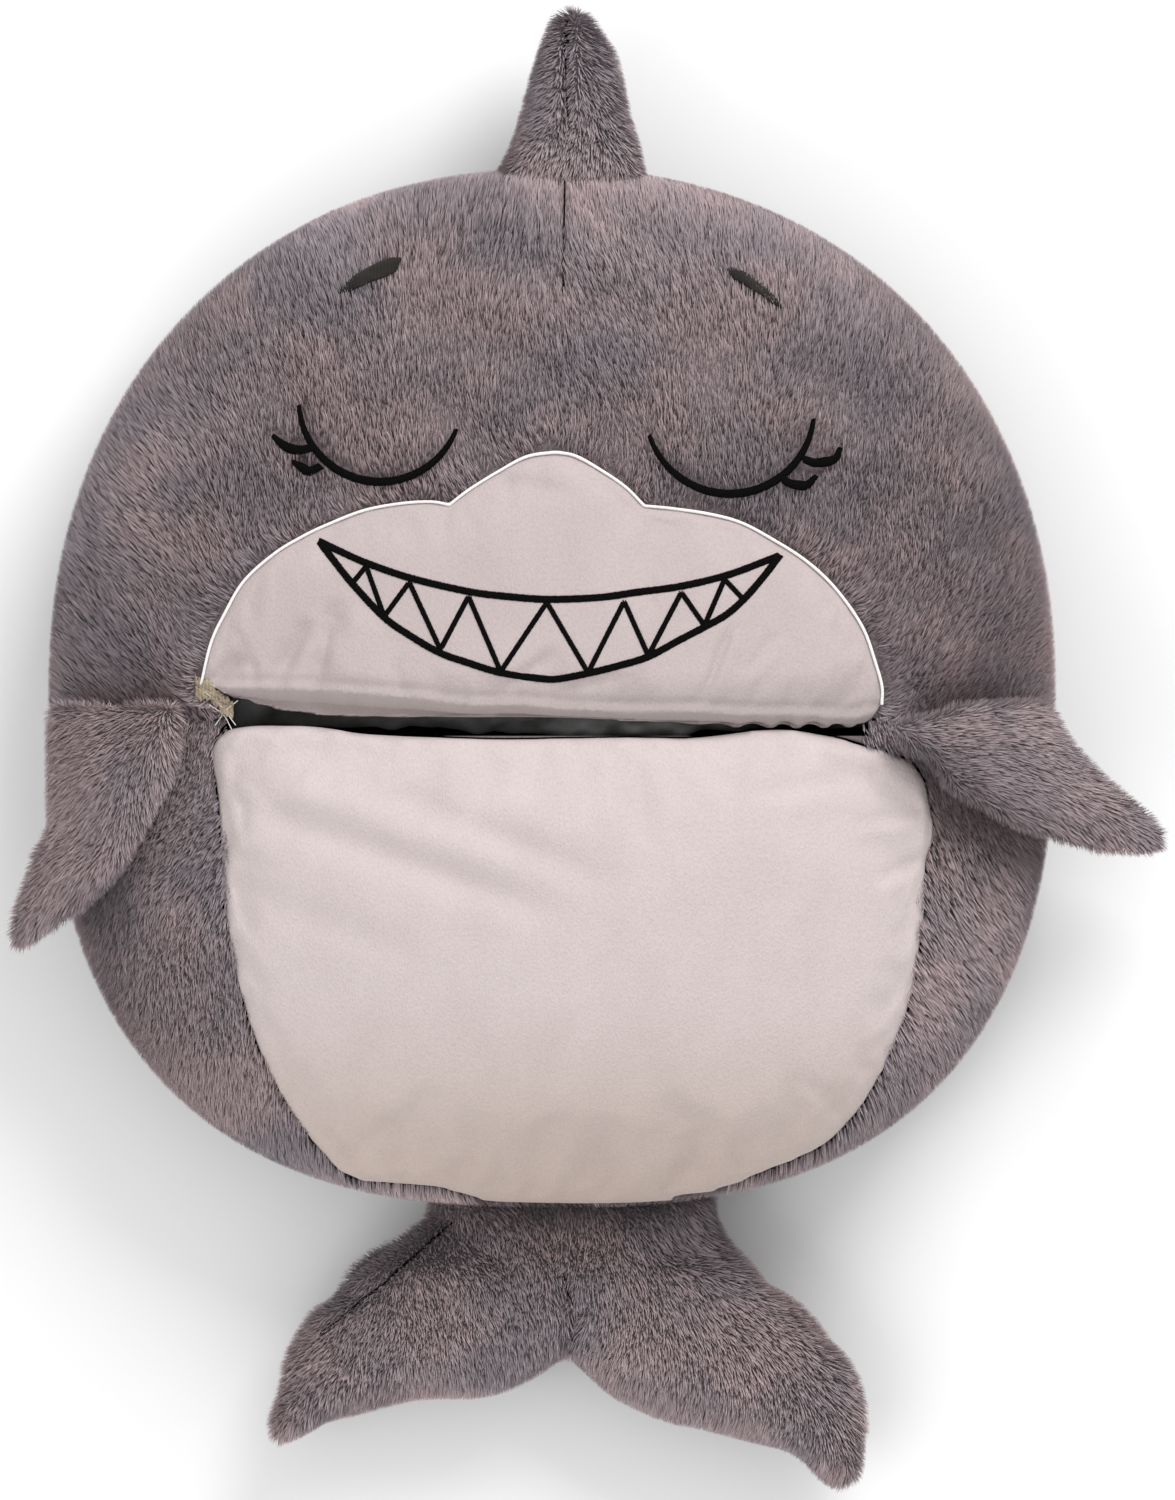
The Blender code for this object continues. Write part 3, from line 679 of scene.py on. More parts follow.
def pillow(name: str, loop: Array, centre: Array, rings: int, low: Height, middle: Height,
           high: Height, power: float, finish: Material | None = None
           ) -> Thing:
    """A closed round form drawn out to a loop.

    Args:
        name: The object's name.
        loop: The counter-clockwise outline, in metres.
        centre: The plan point in its middle.
        rings: How many rings of faces.
        low: The height of the underside.
        middle: The height of the rim.
        high: The height of the top.
        power: How full the form is towards its rim; less is fuller.
        finish: Its material.

    Returns:
        The new object.
    """
    count = len(loop)
    angles = np.linspace(math.pi / 2, -math.pi / 2, rings + 1)
    verts = []
    for k, angle in enumerate(angles):
        flat = math.cos(angle) if 0 < k < rings else 0.0
        plan = centre + (loop - centre) * flat
        if flat == 0:
            plan = plan[:1]
        mid = middle(plan[:, 0], plan[:, 1])
        lift = abs(math.sin(angle)) ** power
        edge = (high if angle > 0 else low)(plan[:, 0], plan[:, 1])
        verts.append(np.column_stack([plan, mid + (edge - mid) * lift]))
    faces = []
    last = 1 + (rings - 1) * count
    for i in range(count):
        j = (i + 1) % count
        faces.append([0, 1 + i, 1 + j])
        faces.append([last, last - count + j, last - count + i])
        for k in range(rings - 2):
            a, b = 1 + k * count, 1 + (k + 1) * count
            faces.append([a + i, b + i, b + j, a + j])
    return new_object(name, np.vstack(verts), faces, finish)


BODY_FLOOR = 0.0010
# How much thinner a limb's backing is than the limb, to either side.
PILE = 0.005
TOUCH = 1e-5
# Segments round the body and rings across it.
COVER_GRID = (176, 72)
SCALP_GRID = (200, 84)
# Corners well outside the body, for boxes that cut right through it.
CUT_LOW = (-0.4, -0.5, -0.1)
CUT_HIGH = (0.4, 0.5, 0.4)


def body_solid(name: str, inset: float, segments: int, rings: int,
               finish: Material | None = None) -> Thing:
    """The round body as one closed form, inside its outer surface by the inset."""
    thing = pillow(
        name, FORM.loop(segments, inset), np.zeros(2), rings,
        flat_level(BODY_FLOOR), flat_level(FORM.rim_z), flat_level(FORM.crown_z - inset),
        FORM.ease, finish,
    )
    points = coordinates(thing)
    under = points[:, 2] < FORM.rim_z - TOUCH
    sunk = FORM.rim_z - (FORM.rim_z - points[under, 2]) * FORM.back_depth
    points[under, 2] = np.maximum(BODY_FLOOR, sunk)
    move_points(thing, points)
    return thing


@dataclass
class Inflation:
    """Cloth simulation that swells and wrinkles a padded piece."""

    voxel: float = 0.005
    pressure: float = 4.0
    spare_cloth: float = 0.0
    cap: float = 0.008
    frames: int = 20
    bending: float = 0.3

    def run(self, thing: Thing, held: Held | None = None) -> Thing:
        """Remeshes, swells and smooths the piece.

        Args:
            thing: The closed piece.
            held: Gives each point's pinning, 0 to 1.

        Returns:
            The piece, with the simulation applied.
        """
        remesh = thing.modifiers.new("even", "REMESH")
        remesh.mode = "VOXEL"
        remesh.voxel_size = self.voxel
        settled(thing)
        thing.data.shade_smooth()
        self._simulate(thing, held)
        smooth = thing.modifiers.new("fine", "SUBSURF")
        smooth.levels = smooth.render_levels = 1
        return settled(thing)

    def _simulate(self, thing: Thing, held: Held | None) -> None:
        """Runs the cloth and writes the capped result."""
        rest = coordinates(thing)
        cloth = thing.modifiers.new("cloth", "CLOTH")
        setup = cloth.settings
        setup.use_pressure = True
        setup.uniform_pressure_force = self.pressure
        setup.shrink_min = -self.spare_cloth
        setup.bending_stiffness = self.bending
        setup.effector_weights.gravity = 0
        setup.mass = 0.2
        setup.quality = 4
        if held is not None:
            group = thing.vertex_groups.new(name="held")
            for number, weight in enumerate(held(rest)):
                if weight > 0:
                    group.add([number], float(weight), "REPLACE")
            setup.vertex_group_mass = "held"
        cloth.point_cache.frame_start = 1
        cloth.point_cache.frame_end = self.frames
        scene = bpy.context.scene
        for number in range(1, self.frames + 1):
            scene.frame_set(number)
        settled(thing)
        scene.frame_set(1)
        thing.vertex_groups.clear()
        moved = coordinates(thing) - rest
        far = np.linalg.norm(moved, axis=1)[:, None]
        move_points(thing, rest + moved * np.minimum(1, self.cap / np.maximum(far, 1e-9)))


# ---- repeated detail -----------------------------------------------------------------


# Waves in a metre of the pile's clumps, and of its slow drift.
CLUMP_WAVES, DRIFT_WAVES = 290.0, 55.0
# How far a tuft's tip lies ahead of its root, as a share of its length.
TUFT_RUN = 0.44
# Factor and offset on a noise value: the turns in radians, the size as a share.
SWIRL, SLOW_TURN, LEAN, CLUMP_SIZE = (1.8, -0.9), (1.6, -0.8), (0.7, -0.35), (0.5, 0.75)
# Values on the ground mesh that only steer the growing.
GUIDES = ("comb", "growth", "out", "wide", "size")


class Tree:
    """A geometry node tree in the making."""

    def __init__(self, name: str, inputs: Sequence[tuple[str, str, float]]) -> None:
        """Starts a tree.

        Args:
            name: The tree's name.
            inputs: Each input's name, socket type and value.
        """
        self.tree = bpy.data.node_groups.new(name, "GeometryNodeTree")
        face = self.tree.interface
        face.new_socket("Geometry", in_out="INPUT", socket_type="NodeSocketGeometry")
        face.new_socket("Geometry", in_out="OUTPUT", socket_type="NodeSocketGeometry")
        self.names: dict[str, str] = {}
        for label, kind, value in inputs:
            socket = face.new_socket(label, in_out="INPUT", socket_type=f"NodeSocket{kind}")
            socket.default_value = value
            self.names[label] = socket.identifier
        self.given = self.tree.nodes.new("NodeGroupInput").outputs
        self.result = self.tree.nodes.new("NodeGroupOutput").inputs

    def node(self, kind: str, links: dict[str | int, object] | None = None, **values: object
             ) -> bpy.types.Node:
        """Adds a node.

        Args:
            kind: The node's type.
            links: Sockets or plain values for its inputs.
            **values: Its properties.

        Returns:
            The new node.
        """
        made = self.tree.nodes.new(kind)
        for key, value in values.items():
            setattr(made, key, value)
        for key, value in (links or {}).items():
            if isinstance(value, bpy.types.NodeSocket):
                self.tree.links.new(value, made.inputs[key])
            else:
                made.inputs[key].default_value = value
        return made

    def sum(self, operation: str, *values: object) -> Socket:
        """A sum on two or three values."""
        return self.node("ShaderNodeMath", dict(enumerate(values)), operation=operation).outputs[0]

    def noise(self, scale: float) -> Socket:
        """A smooth noise value at the points."""
        place = self.node("GeometryNodeInputPosition").outputs[0]
        made = self.node("ShaderNodeTexNoise", {"Vector": place, "Scale": scale, "Detail": 1.0})
        return made.outputs["Fac"]

    def stray(self, seed: Socket | None = None) -> Socket:
        """A random value for each point, -0.5 to 0.5."""
        made = self.node("FunctionNodeRandomValue", data_type="FLOAT")
        names = [s.identifier for s in made.inputs]
        for end, value in (("Min_001", -0.5), ("Max_001", 0.5)):
            made.inputs[names.index(end)].default_value = value
        if seed:
            self.tree.links.new(seed, made.inputs["Seed"])
        return next(s for s in made.outputs if s.enabled)

    def turned(self, up: Socket, along: Socket, angles: dict[str, object]) -> Socket:
        """A rotation for instances.

        Args:
            up: Where the instance's +Z points.
            along: The direction that its +X leans towards.
            angles: Further turns about its own axes.

        Returns:
            The rotation.
        """
        turn = self.node("FunctionNodeAxesToRotation", {"Primary Axis": up, "Secondary Axis": along},
                         primary_axis="Z", secondary_axis="X")
        tilt = self.node("ShaderNodeCombineXYZ", angles)
        made = self.node("FunctionNodeRotateRotation",
                         {"Rotation": turn.outputs[0], "Rotate By": tilt.outputs[0]},
                         rotation_space="LOCAL")
        return made.outputs[0]

    def named(self, name: str, kind: str) -> Socket:
        """A value stored on the input mesh."""
        made = self.node("GeometryNodeInputNamedAttribute", data_type=kind)
        made.inputs["Name"].default_value = name
        return made.outputs["Attribute"]

    def store(self, geometry: Socket, name: str, value: Socket) -> Socket:
        """Stores a value on points under a name."""
        made = self.node(
            "GeometryNodeStoreNamedAttribute", {"Geometry": geometry, "Name": name, "Value": value},
            data_type="FLOAT", domain="POINT",
        )
        return made.outputs[0]

    def finish(self, geometry: Socket, material: Material) -> None:
        """Ends the tree with real geometry in a material."""
        self.material = material
        real = self.node("GeometryNodeRealizeInstances", {"Geometry": geometry})
        dressed = self.node(
            "GeometryNodeSetMaterial", {"Geometry": real.outputs[0], "Material": material}
        )
        self.tree.links.new(dressed.outputs[0], self.result["Geometry"])

    def apply(self, name: str, ground: Thing, values: dict[str, float]) -> Thing:
        """Grows the tree's detail on a ground mesh, which is removed.

        Args:
            name: The new piece's name.
            ground: The mesh that carries the detail.
            values: Values for the tree's inputs.

        Returns:
            The detail as a plain mesh object.
        """
        step = ground.modifiers.new("detail", "NODES")
        step.node_group = self.tree
        for label, value in values.items():
            step[self.names[label]] = value
        settled(ground)
        mesh = ground.data
        mesh.name = name
        mesh.polygons.foreach_set("material_index", np.zeros(len(mesh.polygons), np.int32))
        mesh.materials.clear()
        mesh.materials.append(self.material)
        bpy.data.objects.remove(ground)
        for attribute in [a.name for a in mesh.attributes]:
            if attribute in GUIDES:
                mesh.attributes.remove(mesh.attributes[attribute])
        return link_mesh(name, mesh)


class FurTree(Tree):
    """Plush pile: tapering tufts that lean along the combed direction."""

    def __init__(self, material: Material) -> None:
        """Builds the tree for a pile of one material."""
        super().__init__("plush_pile", [
            ("Density", "Float", 400000.0), ("Length", "Float", 0.009), ("Seed", "Int", 1),
            ("Lift", "Float", 0.7), ("Width", "Float", 0.08), ("Spread", "Float", 0.5),
            # This input is painted shade: an offset that darkens the tint of a whole coat.
            ("PaintedShade", "Float", 0.0),
        ])
        given = self.given
        thick = self.sum("MULTIPLY", given["Density"], self.named("growth", "FLOAT"))
        spots = self.node(
            "GeometryNodeDistributePointsOnFaces",
            {"Mesh": given["Geometry"], "Density": thick, "Seed": given["Seed"]},
            distribute_method="RANDOM",
        )
        clump, drift, loose = self.noise(CLUMP_WAVES), self.noise(DRIFT_WAVES), self.stray()
        swirl = self.sum("MULTIPLY_ADD", clump, *SWIRL)
        slow = self.sum("MULTIPLY_ADD", drift, *SLOW_TURN)
        wander = self.sum("ADD", self.sum("ADD", swirl, slow), loose)
        lean = self.sum("MULTIPLY_ADD", clump, *LEAN)
        rotation = self.turned(
            spots.outputs["Normal"], self.named("comb", "FLOAT_VECTOR"),
            {"Y": self.sum("ADD", self.sum("MULTIPLY", loose, 0.5), lean),
             "Z": self.sum("MULTIPLY", wander, given["Spread"])},
        )
        clump_size = self.sum("MULTIPLY_ADD", clump, *CLUMP_SIZE)
        own = self.sum("MULTIPLY_ADD", loose, 0.5, 1.0)
        size = self.sum("MULTIPLY", self.sum("MULTIPLY", clump_size, own), given["Length"])
        tint = self.sum("ADD", self.sum("MULTIPLY", loose, 0.6), clump)
        # Painted shade: the coat's offset darkens the tint.
        tint = self.sum("ADD", tint, given["PaintedShade"])
        points = self.store(spots.outputs["Points"], "tint", tint)
        placed = self.node(
            "GeometryNodeInstanceOnPoints",
            {"Points": points, "Instance": self._tuft(), "Rotation": rotation, "Scale": size},
        )
        self.finish(placed.outputs[0], material)

    def _tuft(self) -> Socket:
        """One tuft, a unit long: a thin spike that leans along +X."""
        cone = self.node(
            "GeometryNodeMeshCone", {"Vertices": 3, "Side Segments": 1, "Radius Top": 0.0,
                                     "Radius Bottom": self.given["Width"], "Depth": 1.0},
            fill_type="NONE",
        )
        split = self.node("ShaderNodeSeparateXYZ",
                          {0: self.node("GeometryNodeInputPosition").outputs[0]})
        along = split.outputs["Z"]
        marked = self.store(cone.outputs["Mesh"], "along", along)
        rise = self.sum("MULTIPLY", along, self.given["Lift"])
        height = self.sum("SUBTRACT", rise, split.outputs["X"])
        run = self.sum("MULTIPLY", along, TUFT_RUN)
        bent = self.node("ShaderNodeCombineXYZ", {"X": run, "Y": split.outputs["Y"], "Z": height})
        shaped = self.node("GeometryNodeSetPosition", {"Geometry": marked, "Position": bent.outputs[0]})
        return shaped.outputs[0]


class StitchTree(Tree):
    """Satin stitch: threads laid across a line, side by side."""

    def __init__(self, material: Material) -> None:
        """Builds the tree for thread of one material."""
        super().__init__("satin_stitch", [
            ("Pitch", "Float", 0.0006), ("Thread", "Float", 0.0008), ("Slant", "Float", 0.25),
            ("Seed", "Int", 1),
        ])
        given = self.given
        curve = self.node("GeometryNodeMeshToCurve", {"Mesh": given["Geometry"]})
        even = self.node("GeometryNodeResampleCurve",
                         {"Curve": curve.outputs[0], "Length": given["Pitch"]}, mode="LENGTH")
        loose = self.stray(given["Seed"])
        yaw = self.sum("ADD", given["Slant"], self.sum("MULTIPLY", loose, 0.12))
        tangent = self.node("GeometryNodeInputTangent").outputs[0]
        rotation = self.turned(self.named("out", "FLOAT_VECTOR"), tangent, {"Z": yaw})
        wide = self.sum("MULTIPLY", self.named("wide", "FLOAT"),
                        self.sum("ADD", 1.0, self.sum("MULTIPLY", loose, 0.14)))
        size = self.node("ShaderNodeCombineXYZ",
                         {"X": given["Thread"], "Y": wide, "Z": self.named("size", "FLOAT")})
        ball = self.node("GeometryNodeMeshUVSphere", {"Segments": 6, "Rings": 5, "Radius": 0.5})
        placed = self.node(
            "GeometryNodeInstanceOnPoints",
            {"Points": even.outputs[0], "Instance": ball.outputs["Mesh"],
             "Rotation": rotation, "Scale": size.outputs[0]},
        )
        self.finish(placed.outputs[0], material)


def add_values(thing: Thing, name: str, values: Array) -> None:
    """Stores a value or a direction at each point of a mesh."""
    kind = "FLOAT_VECTOR" if values.ndim == 2 else "FLOAT"
    layer = thing.data.attributes.new(name, kind, "POINT")
    layer.data.foreach_set("vector" if values.ndim == 2 else "value", values.astype(np.float32).ravel())


def point_normals(thing: Thing) -> Array:
    """The object's outward directions at its points."""
    found = np.empty(len(thing.data.vertices) * 3)
    thing.data.vertices.foreach_get("normal", found)
    return found.reshape(-1, 3)


@dataclass
class Coat:
    """Fur on one region of the toy."""

    name: str
    seed: int
    pieces: int = 1
    density: float = 1250000.0
    length: float = 0.0064
    lift: float = 0.80
    width: float = 0.080
    spread: float = 0.40
    # Painted shade: a negative value darkens the whole coat's tint.
    painted_shade_tone: float = 0.0

    def grow(self, tree: FurTree, scalp: Thing, growth: Array, comb: Array) -> list[Thing]:
        """Grows the coat on a scalp, which is removed.

        Args:
            tree: The pile's node tree.
            scalp: The mesh that the tufts stand on.
            growth: How thick the coat is at each of its points, 0 to 1.
            comb: The combed direction at each point.

        Returns:
            The coat's pieces, from left to right.
        """
        normals = point_normals(scalp)
        flat = comb - normals * (comb * normals).sum(axis=1)[:, None]
        flat /= np.maximum(np.linalg.norm(flat, axis=1), 1e-6)[:, None]
        add_values(scalp, "comb", flat)
        strip = self._strips(scalp, growth)
        coats = []
        for number in range(self.pieces):
            name = self.name if self.pieces == 1 else f"{self.name}_{number + 1}"
            ground = copy_of(scalp, name)
            add_values(ground, "growth", np.where(strip == number, growth, 0.0))
            coat = tree.apply(name, ground, {
                "Density": self.density, "Length": self.length, "Seed": self.seed + 100 * number,
                "Lift": self.lift, "Width": self.width, "Spread": self.spread,
                "PaintedShade": self.painted_shade_tone,
            })
            log.info("%s: %d tufts", name, len(coat.data.polygons) // 3)
            coats.append(coat)
        bpy.data.objects.remove(scalp)
        return coats

    def _strips(self, scalp: Thing, growth: Array) -> Array:
        """Each point's piece number, so that all pieces carry about as many tufts."""
        share = np.zeros(len(scalp.data.vertices))
        for face in scalp.data.polygons:
            share[list(face.vertices)] += face.area / len(face.vertices)
        order = np.argsort(coordinates(scalp)[:, 0], kind="stable")
        carried = np.cumsum((share * growth)[order])
        strip = np.empty(len(order), int)
        strip[order] = np.minimum(carried / carried[-1] * self.pieces, self.pieces - 1e-6)
        return strip


def copy_of(thing: Thing, name: str) -> Thing:
    """A copy of a piece with its own mesh."""
    mesh = thing.data.copy()
    mesh.name = name
    return link_mesh(name, mesh)


def add_line(name: str, points: Array, out: Array, wide: Array, tall: float) -> Thing:
    """A line of edges that carries what the satin stitch needs.

    Args:
        name: The line's name.
        points: Its points.
        out: The surface's outward direction at each point.
        wide: The stitch width at each point.
        tall: The stitch height.

    Returns:
        The line as an object.
    """
    mesh = bpy.data.meshes.new(name)
    edges = [(i, i + 1) for i in range(len(points) - 1)]
    mesh.from_pydata([tuple(p) for p in points], edges, [])
    line = link_mesh(name, mesh)
    add_values(line, "out", out)
    add_values(line, "wide", wide)
    add_values(line, "size", np.full(len(points), tall))
    return line


def sewn(name: str, points: Array, out: Array, thread: StitchTree) -> Thing:
    """A thin line of stitches where cloth is sewn, through its points."""
    line = add_line(name, points, out, np.full(len(points), 0.0009), 0.0030)
    return thread.apply(name, line, SEAM_STITCH)


def merged(name: str, things: Sequence[Thing]) -> Thing:
    """One object from several, which are removed.

    Args:
        name: The new piece's name.
        things: The objects to join, alike in material.

    Returns:
        The joined piece.
    """
    bm = bmesh.new()
    material = things[0].data.materials[0]
    for thing in things:
        bm.from_mesh(thing.data)
        bpy.data.objects.remove(thing)
    mesh = bpy.data.meshes.new(name)
    bm.to_mesh(mesh)
    bm.free()
    mesh.shade_smooth()
    return link_mesh(name, mesh, material)


@dataclass
class Sheet:
    """A cloth given as a grid of points with a thin wall."""

    name: str
    columns: int
    rows: int
    wall: float = 0.0012

    def build(self, point: Callable[[Array, Array], Array], finish: Material) -> Thing:
        """Builds the cloth.

        Args:
            point: Gives points for shares across and along the cloth, 0 to 1.
            finish: Its material.

        Returns:
            The cloth.
        """
        across, along = np.meshgrid(np.linspace(0, 1, self.columns), np.linspace(0, 1, self.rows))
        verts = point(across.ravel(), along.ravel())
        faces = []
        for r in range(self.rows - 1):
            for c in range(self.columns - 1):
                i = r * self.columns + c
                faces.append([i, i + 1, i + 1 + self.columns, i + self.columns])
        cloth = new_object(self.name, verts, faces, finish)
        wall = cloth.modifiers.new("wall", "SOLIDIFY")
        wall.thickness = self.wall
        wall.offset = 0.0
        return settled(cloth)


# ---- outlines, in millimetres --------------------------------------------------------

MUZZLE_ARCS = [
    [(-176, 3.5), (-171, 24), (-164.5, 38), (-154.5, 55), (-139, 69), (-125, 77.5),
     (-112.5, 83.5), (-94.5, 90.5), (-76.5, 94), (-61, 95), (-51.5, 93.5)],
    [(-51.5, 93.5), (-41, 101.5), (-25.5, 111), (-13, 117.5), (-1.5, 119.5), (5, 119.5),
     (13, 117.5), (24.5, 111), (37, 102.5), (46.5, 93)],
    [(46.5, 93), (61.5, 91.5), (80.5, 88.5), (96, 84), (112.5, 75), (126.5, 66), (139, 55),
     (149.5, 42), (157, 29.5), (162, 15), (165.5, 2.5), (165.5, -6.5)],
]
MUZZLE_HEM = [
    (-164, 1), (-141, 0.5), (-118, 0), (-94, -2), (-65, -4.5), (-43, -7.5), (-16.5, -7.5),
    (4, -9.5), (38.5, -11), (70.5, -11), (93.5, -12.5), (128, -13), (147, -14.5), (161, -12),
]
MUZZLE_LIP = [
    (160, -14.5), (154, -17.5), (147, -18.5), (142, -15.5), (136, -20), (129, -15.8),
    (123, -20.5), (115.5, -15.8), (109, -20), (101, -15.8), (93, -19), (84, -16.5),
    (72, -17.5), (60, -16), (30, -15), (4, -14),
    (-26, -13.5), (-46, -13.5), (-80, -13.5), (-113, -12.5), (-135, -10), (-157, -4), (-170, -1),
]
BELLY_EDGE = [
    (-171.5, -26.5), (-164, -18.5), (-149.5, -15.5), (-118, -16), (-95, -19.5), (-65, -21),
    (-28.5, -22.5), (4, -22), (38, -21.5), (71.5, -21.5), (102.5, -18), (121.5, -18),
    (140.5, -21), (152.5, -24.5), (173, -30.5), (183, -36.5), (189, -48.5), (192, -67),
    (191.5, -77), (188, -89), (188, -106), (185.5, -129.5), (181.5, -153), (174.5, -173.5),
    (166, -192), (156, -209), (141, -226), (122, -236), (105.5, -243), (78.5, -253.5),
    (38, -259.5), (4, -259.5), (-34, -257), (-56, -250.5), (-84.5, -248), (-100, -246),
    (-108.5, -241), (-118.5, -229.5), (-130.5, -214), (-140.5, -195.5), (-150.5, -173.5),
    (-158, -148), (-162.5, -126), (-166, -106), (-167, -77), (-168.5, -52), (-171, -38.5),
]
FIN_EDGE = [
    (50, 245), (48.5, 259.5), (46, 272.5), (42, 286), (38.5, 300.5), (34.5, 317.5),
    (28.5, 328), (21, 339), (13, 344), (7, 344), (0.5, 340.5), (-4.5, 330.5), (-8.5, 320),
    (-13.5, 304), (-18.5, 286), (-23, 272.5), (-29, 260), (-31, 245), (10, 240),
]
TAIL_EDGE = [
    (84.5, -262), (91.5, -274.5), (102, -284.5), (111, -294), (123.5, -303), (135, -314.5),
    (143, -325), (152.5, -338.5), (158, -353.5), (159.5, -367), (158, -378.5),
    (157, -393.5), (152.5, -399.5), (143, -402.5), (135, -399.5), (129.5, -392.5),
    (120.5, -386), (106.5, -382), (89.5, -377.5), (73, -373), (55, -368.5), (32, -358),
    (17, -345.5), (7, -337), (-3.5, -343.5), (-17, -351), (-30.5, -356), (-50.5, -357.5),
    (-67.5, -359), (-95, -365), (-112, -369), (-128.5, -378), (-135.5, -380), (-141.5, -377),
    (-144, -371), (-142, -360), (-138.5, -348), (-135.5, -332), (-128.5, -317.5),
    (-123, -308.5), (-113, -301), (-107.5, -291), (-96.5, -281), (-79.5, -271),
    (-64.5, -260), (-60, -244), (10, -240), (78, -244),
]
LEFT_FLIPPER_EDGE = [
    (-253.5, -2), (-218, -1.5), (-183, -1.5), (-180.5, -8), (-181, -25.5), (-184, -40),
    (-190, -53.5), (-200.5, -73.5), (-211, -92.5), (-222.5, -105), (-234, -116),
    (-242.5, -121.5), (-249, -126), (-258, -133), (-263.5, -134.5), (-270, -133),
    (-273.5, -129), (-274, -123), (-271, -111.5), (-267, -99.5), (-264.5, -88),
    (-261.5, -75.5), (-258, -67), (-257, -51.5), (-256, -38), (-255.5, -16),
]
RIGHT_FLIPPER_EDGE = [
    (164, -17.5), (174, -8.5), (188, -8), (197, -3.5), (214, -1.5), (236.5, 0), (250.5, -3.5),
    (259.5, -17.5), (266.5, -27.5), (274.5, -35.5), (283.5, -44.5), (294.5, -54),
    (302.5, -60.5), (307.5, -66), (309.5, -73), (307.5, -80), (302.5, -85), (296.5, -86),
    (283.5, -84.5), (267.5, -82.5), (256.5, -79.5), (242.5, -75.5), (229.5, -72),
    (216.5, -65), (202, -57), (193, -50), (188.5, -43), (183, -36.5), (170, -28.5),
]
GRIN_UPPER = [
    (-116, 74.5), (-104.5, 69), (-92, 63.5), (-70, 56), (-42, 49.5), (-23, 47), (-1.5, 45.5),
    (24, 46.5), (42, 49), (64, 52), (87, 57.5), (106, 64.5), (113.5, 67.5),
]
GRIN_LOWER = [
    (-116, 74.5), (-109.5, 66), (-99.5, 53.5), (-84, 37), (-71.5, 28), (-56, 19), (-42, 14),
    (-25.5, 9), (-5, 6), (4, 6), (19.5, 9), (33.5, 12.5), (48, 17), (64, 25.5), (76.5, 32),
    (87, 38), (96, 46), (106, 57.5), (113.5, 67.5),
]
TEETH = [
    (-99.5, 53.5), (-92.5, 62), (-83.5, 37), (-71, 54), (-55.5, 20.5), (-41.5, 47),
    (-25.5, 9.5), (-2.5, 44), (18, 9), (36, 44.5), (48, 17.5), (64.5, 49), (76, 32.5),
    (86, 55.5), (95, 46),
]


# Each eyelid's arc: side, centre, radius, and its start and end in degrees.
EYE_ARCS = [
    ("left", (-85.5, 144.5), 40.5, 183.5, 339),
    ("right", (88.5, 140), 42.0, 198, 353.5),
]
LASHES = [
    ("left", [(-118.5, 121.5), (-125, 120), (-132.5, 121.5), (-139, 127)]),
    ("left", [(-115, 112), (-121, 109.5), (-129, 114)]),
    ("right", [(125, 115.5), (131.5, 113.5), (140.5, 115.5), (143.5, 121)]),
    ("right", [(115, 105.5), (119, 103), (126.5, 102.5), (131.5, 107)]),
]
BROWS = {
    "left": [(-107, 198.5), (-103, 204.5), (-96, 209.5), (-84.5, 215.5), (-76, 217),
             (-75.5, 214), (-79, 208.5), (-90.5, 204), (-101, 199.5)],
    "right": [(88, 212), (97.5, 209), (107, 202), (115.5, 192),
              (112, 192), (103.5, 198), (90, 206.5)],
}
LOOSE_THREADS = [
    [(-170, -2), (-164, -9), (-158, -17)],
    [(-157, -5), (-163, -10), (-168, -17)],
    [(-174, 0), (-167, -5), (-161, -5)],
    [(-171, -7), (-164, -12), (-160, -19)],
    [(-176, 2), (-170, 3), (-163, -1)],
]
# The soft folds of the padded panels.
MUZZLE_CREASES = [
    Crease((-106, 46), (-120, -2), 6.5, 4.0),
    Crease((-111, 34), (-116, 2), 2.2, 1.5),
    Crease((-120, 36), (-142, 0), 6.0, 4.0),
    Crease((-124, 28), (-136, 6), 2.4, 1.3),
    Crease((-154, 18), (-174, 0), 4.2, 3.6),
    Crease((-30, 104), (14, 98), 5.0, 1.6),
    Crease((-28, -2), (6, 22), 3.6, 1.8),
    Crease((90, 34), (74, -8), 2.4, 2.4),
    Crease((112, 30), (96, 6), 3.2, 1.4),
    Crease((4, 0), (40, 8), 3.0, 1.4),
]
BELLY_CREASES = [
    Crease((-172, -50), (20, -118), 9.0, 3.6),
    Crease((-110, -40), (40, -100), 8.0, 2.4),
    Crease((-166, -96), (-60, -136), 9.0, 1.2),
    Crease((190, -58), (150, -66), 3.5, 2.2),
    Crease((190, -82), (158, -96), 3.5, 2.0),
    Crease((176, -40), (90, -52), 5.0, 1.6),
    Crease((-110, -238), (-70, -208), 4.5, 2.0),
    Crease((60, -254), (44, -228), 3.5, 1.5),
    Crease((100, -243), (80, -214), 4.0, 1.6),
    Crease((150, -214), (120, -190), 4.5, 1.6),
    Crease((-20, -254), (-26, -226), 4.0, 1.4),
]

# The ends of the slit between the muzzle and the belly, in metres.
SLIT_LEFT, SLIT_RIGHT = -0.166, 0.158
# The point that the belly's panel and linings are drawn out from.
BELLY_CENTRE = np.array([0.006, -0.125])
# Satin stitches: the pitch along the line, the thread's thickness and its slant.
EYE_STITCH = {"Pitch": 0.0005, "Thread": 0.0009, "Slant": 0.35}
GRIN_STITCH = {"Pitch": 0.0005, "Thread": 0.0009, "Slant": 0.3}
EDGE_STITCH = {"Pitch": 0.00055, "Thread": 0.0010, "Slant": 0.25}
SEAM_STITCH = {"Pitch": 0.0007, "Thread": 0.0009, "Slant": 0.2}
LOOSE_STITCH = {"Pitch": 0.0005, "Thread": 0.0005, "Slant": 0.2}


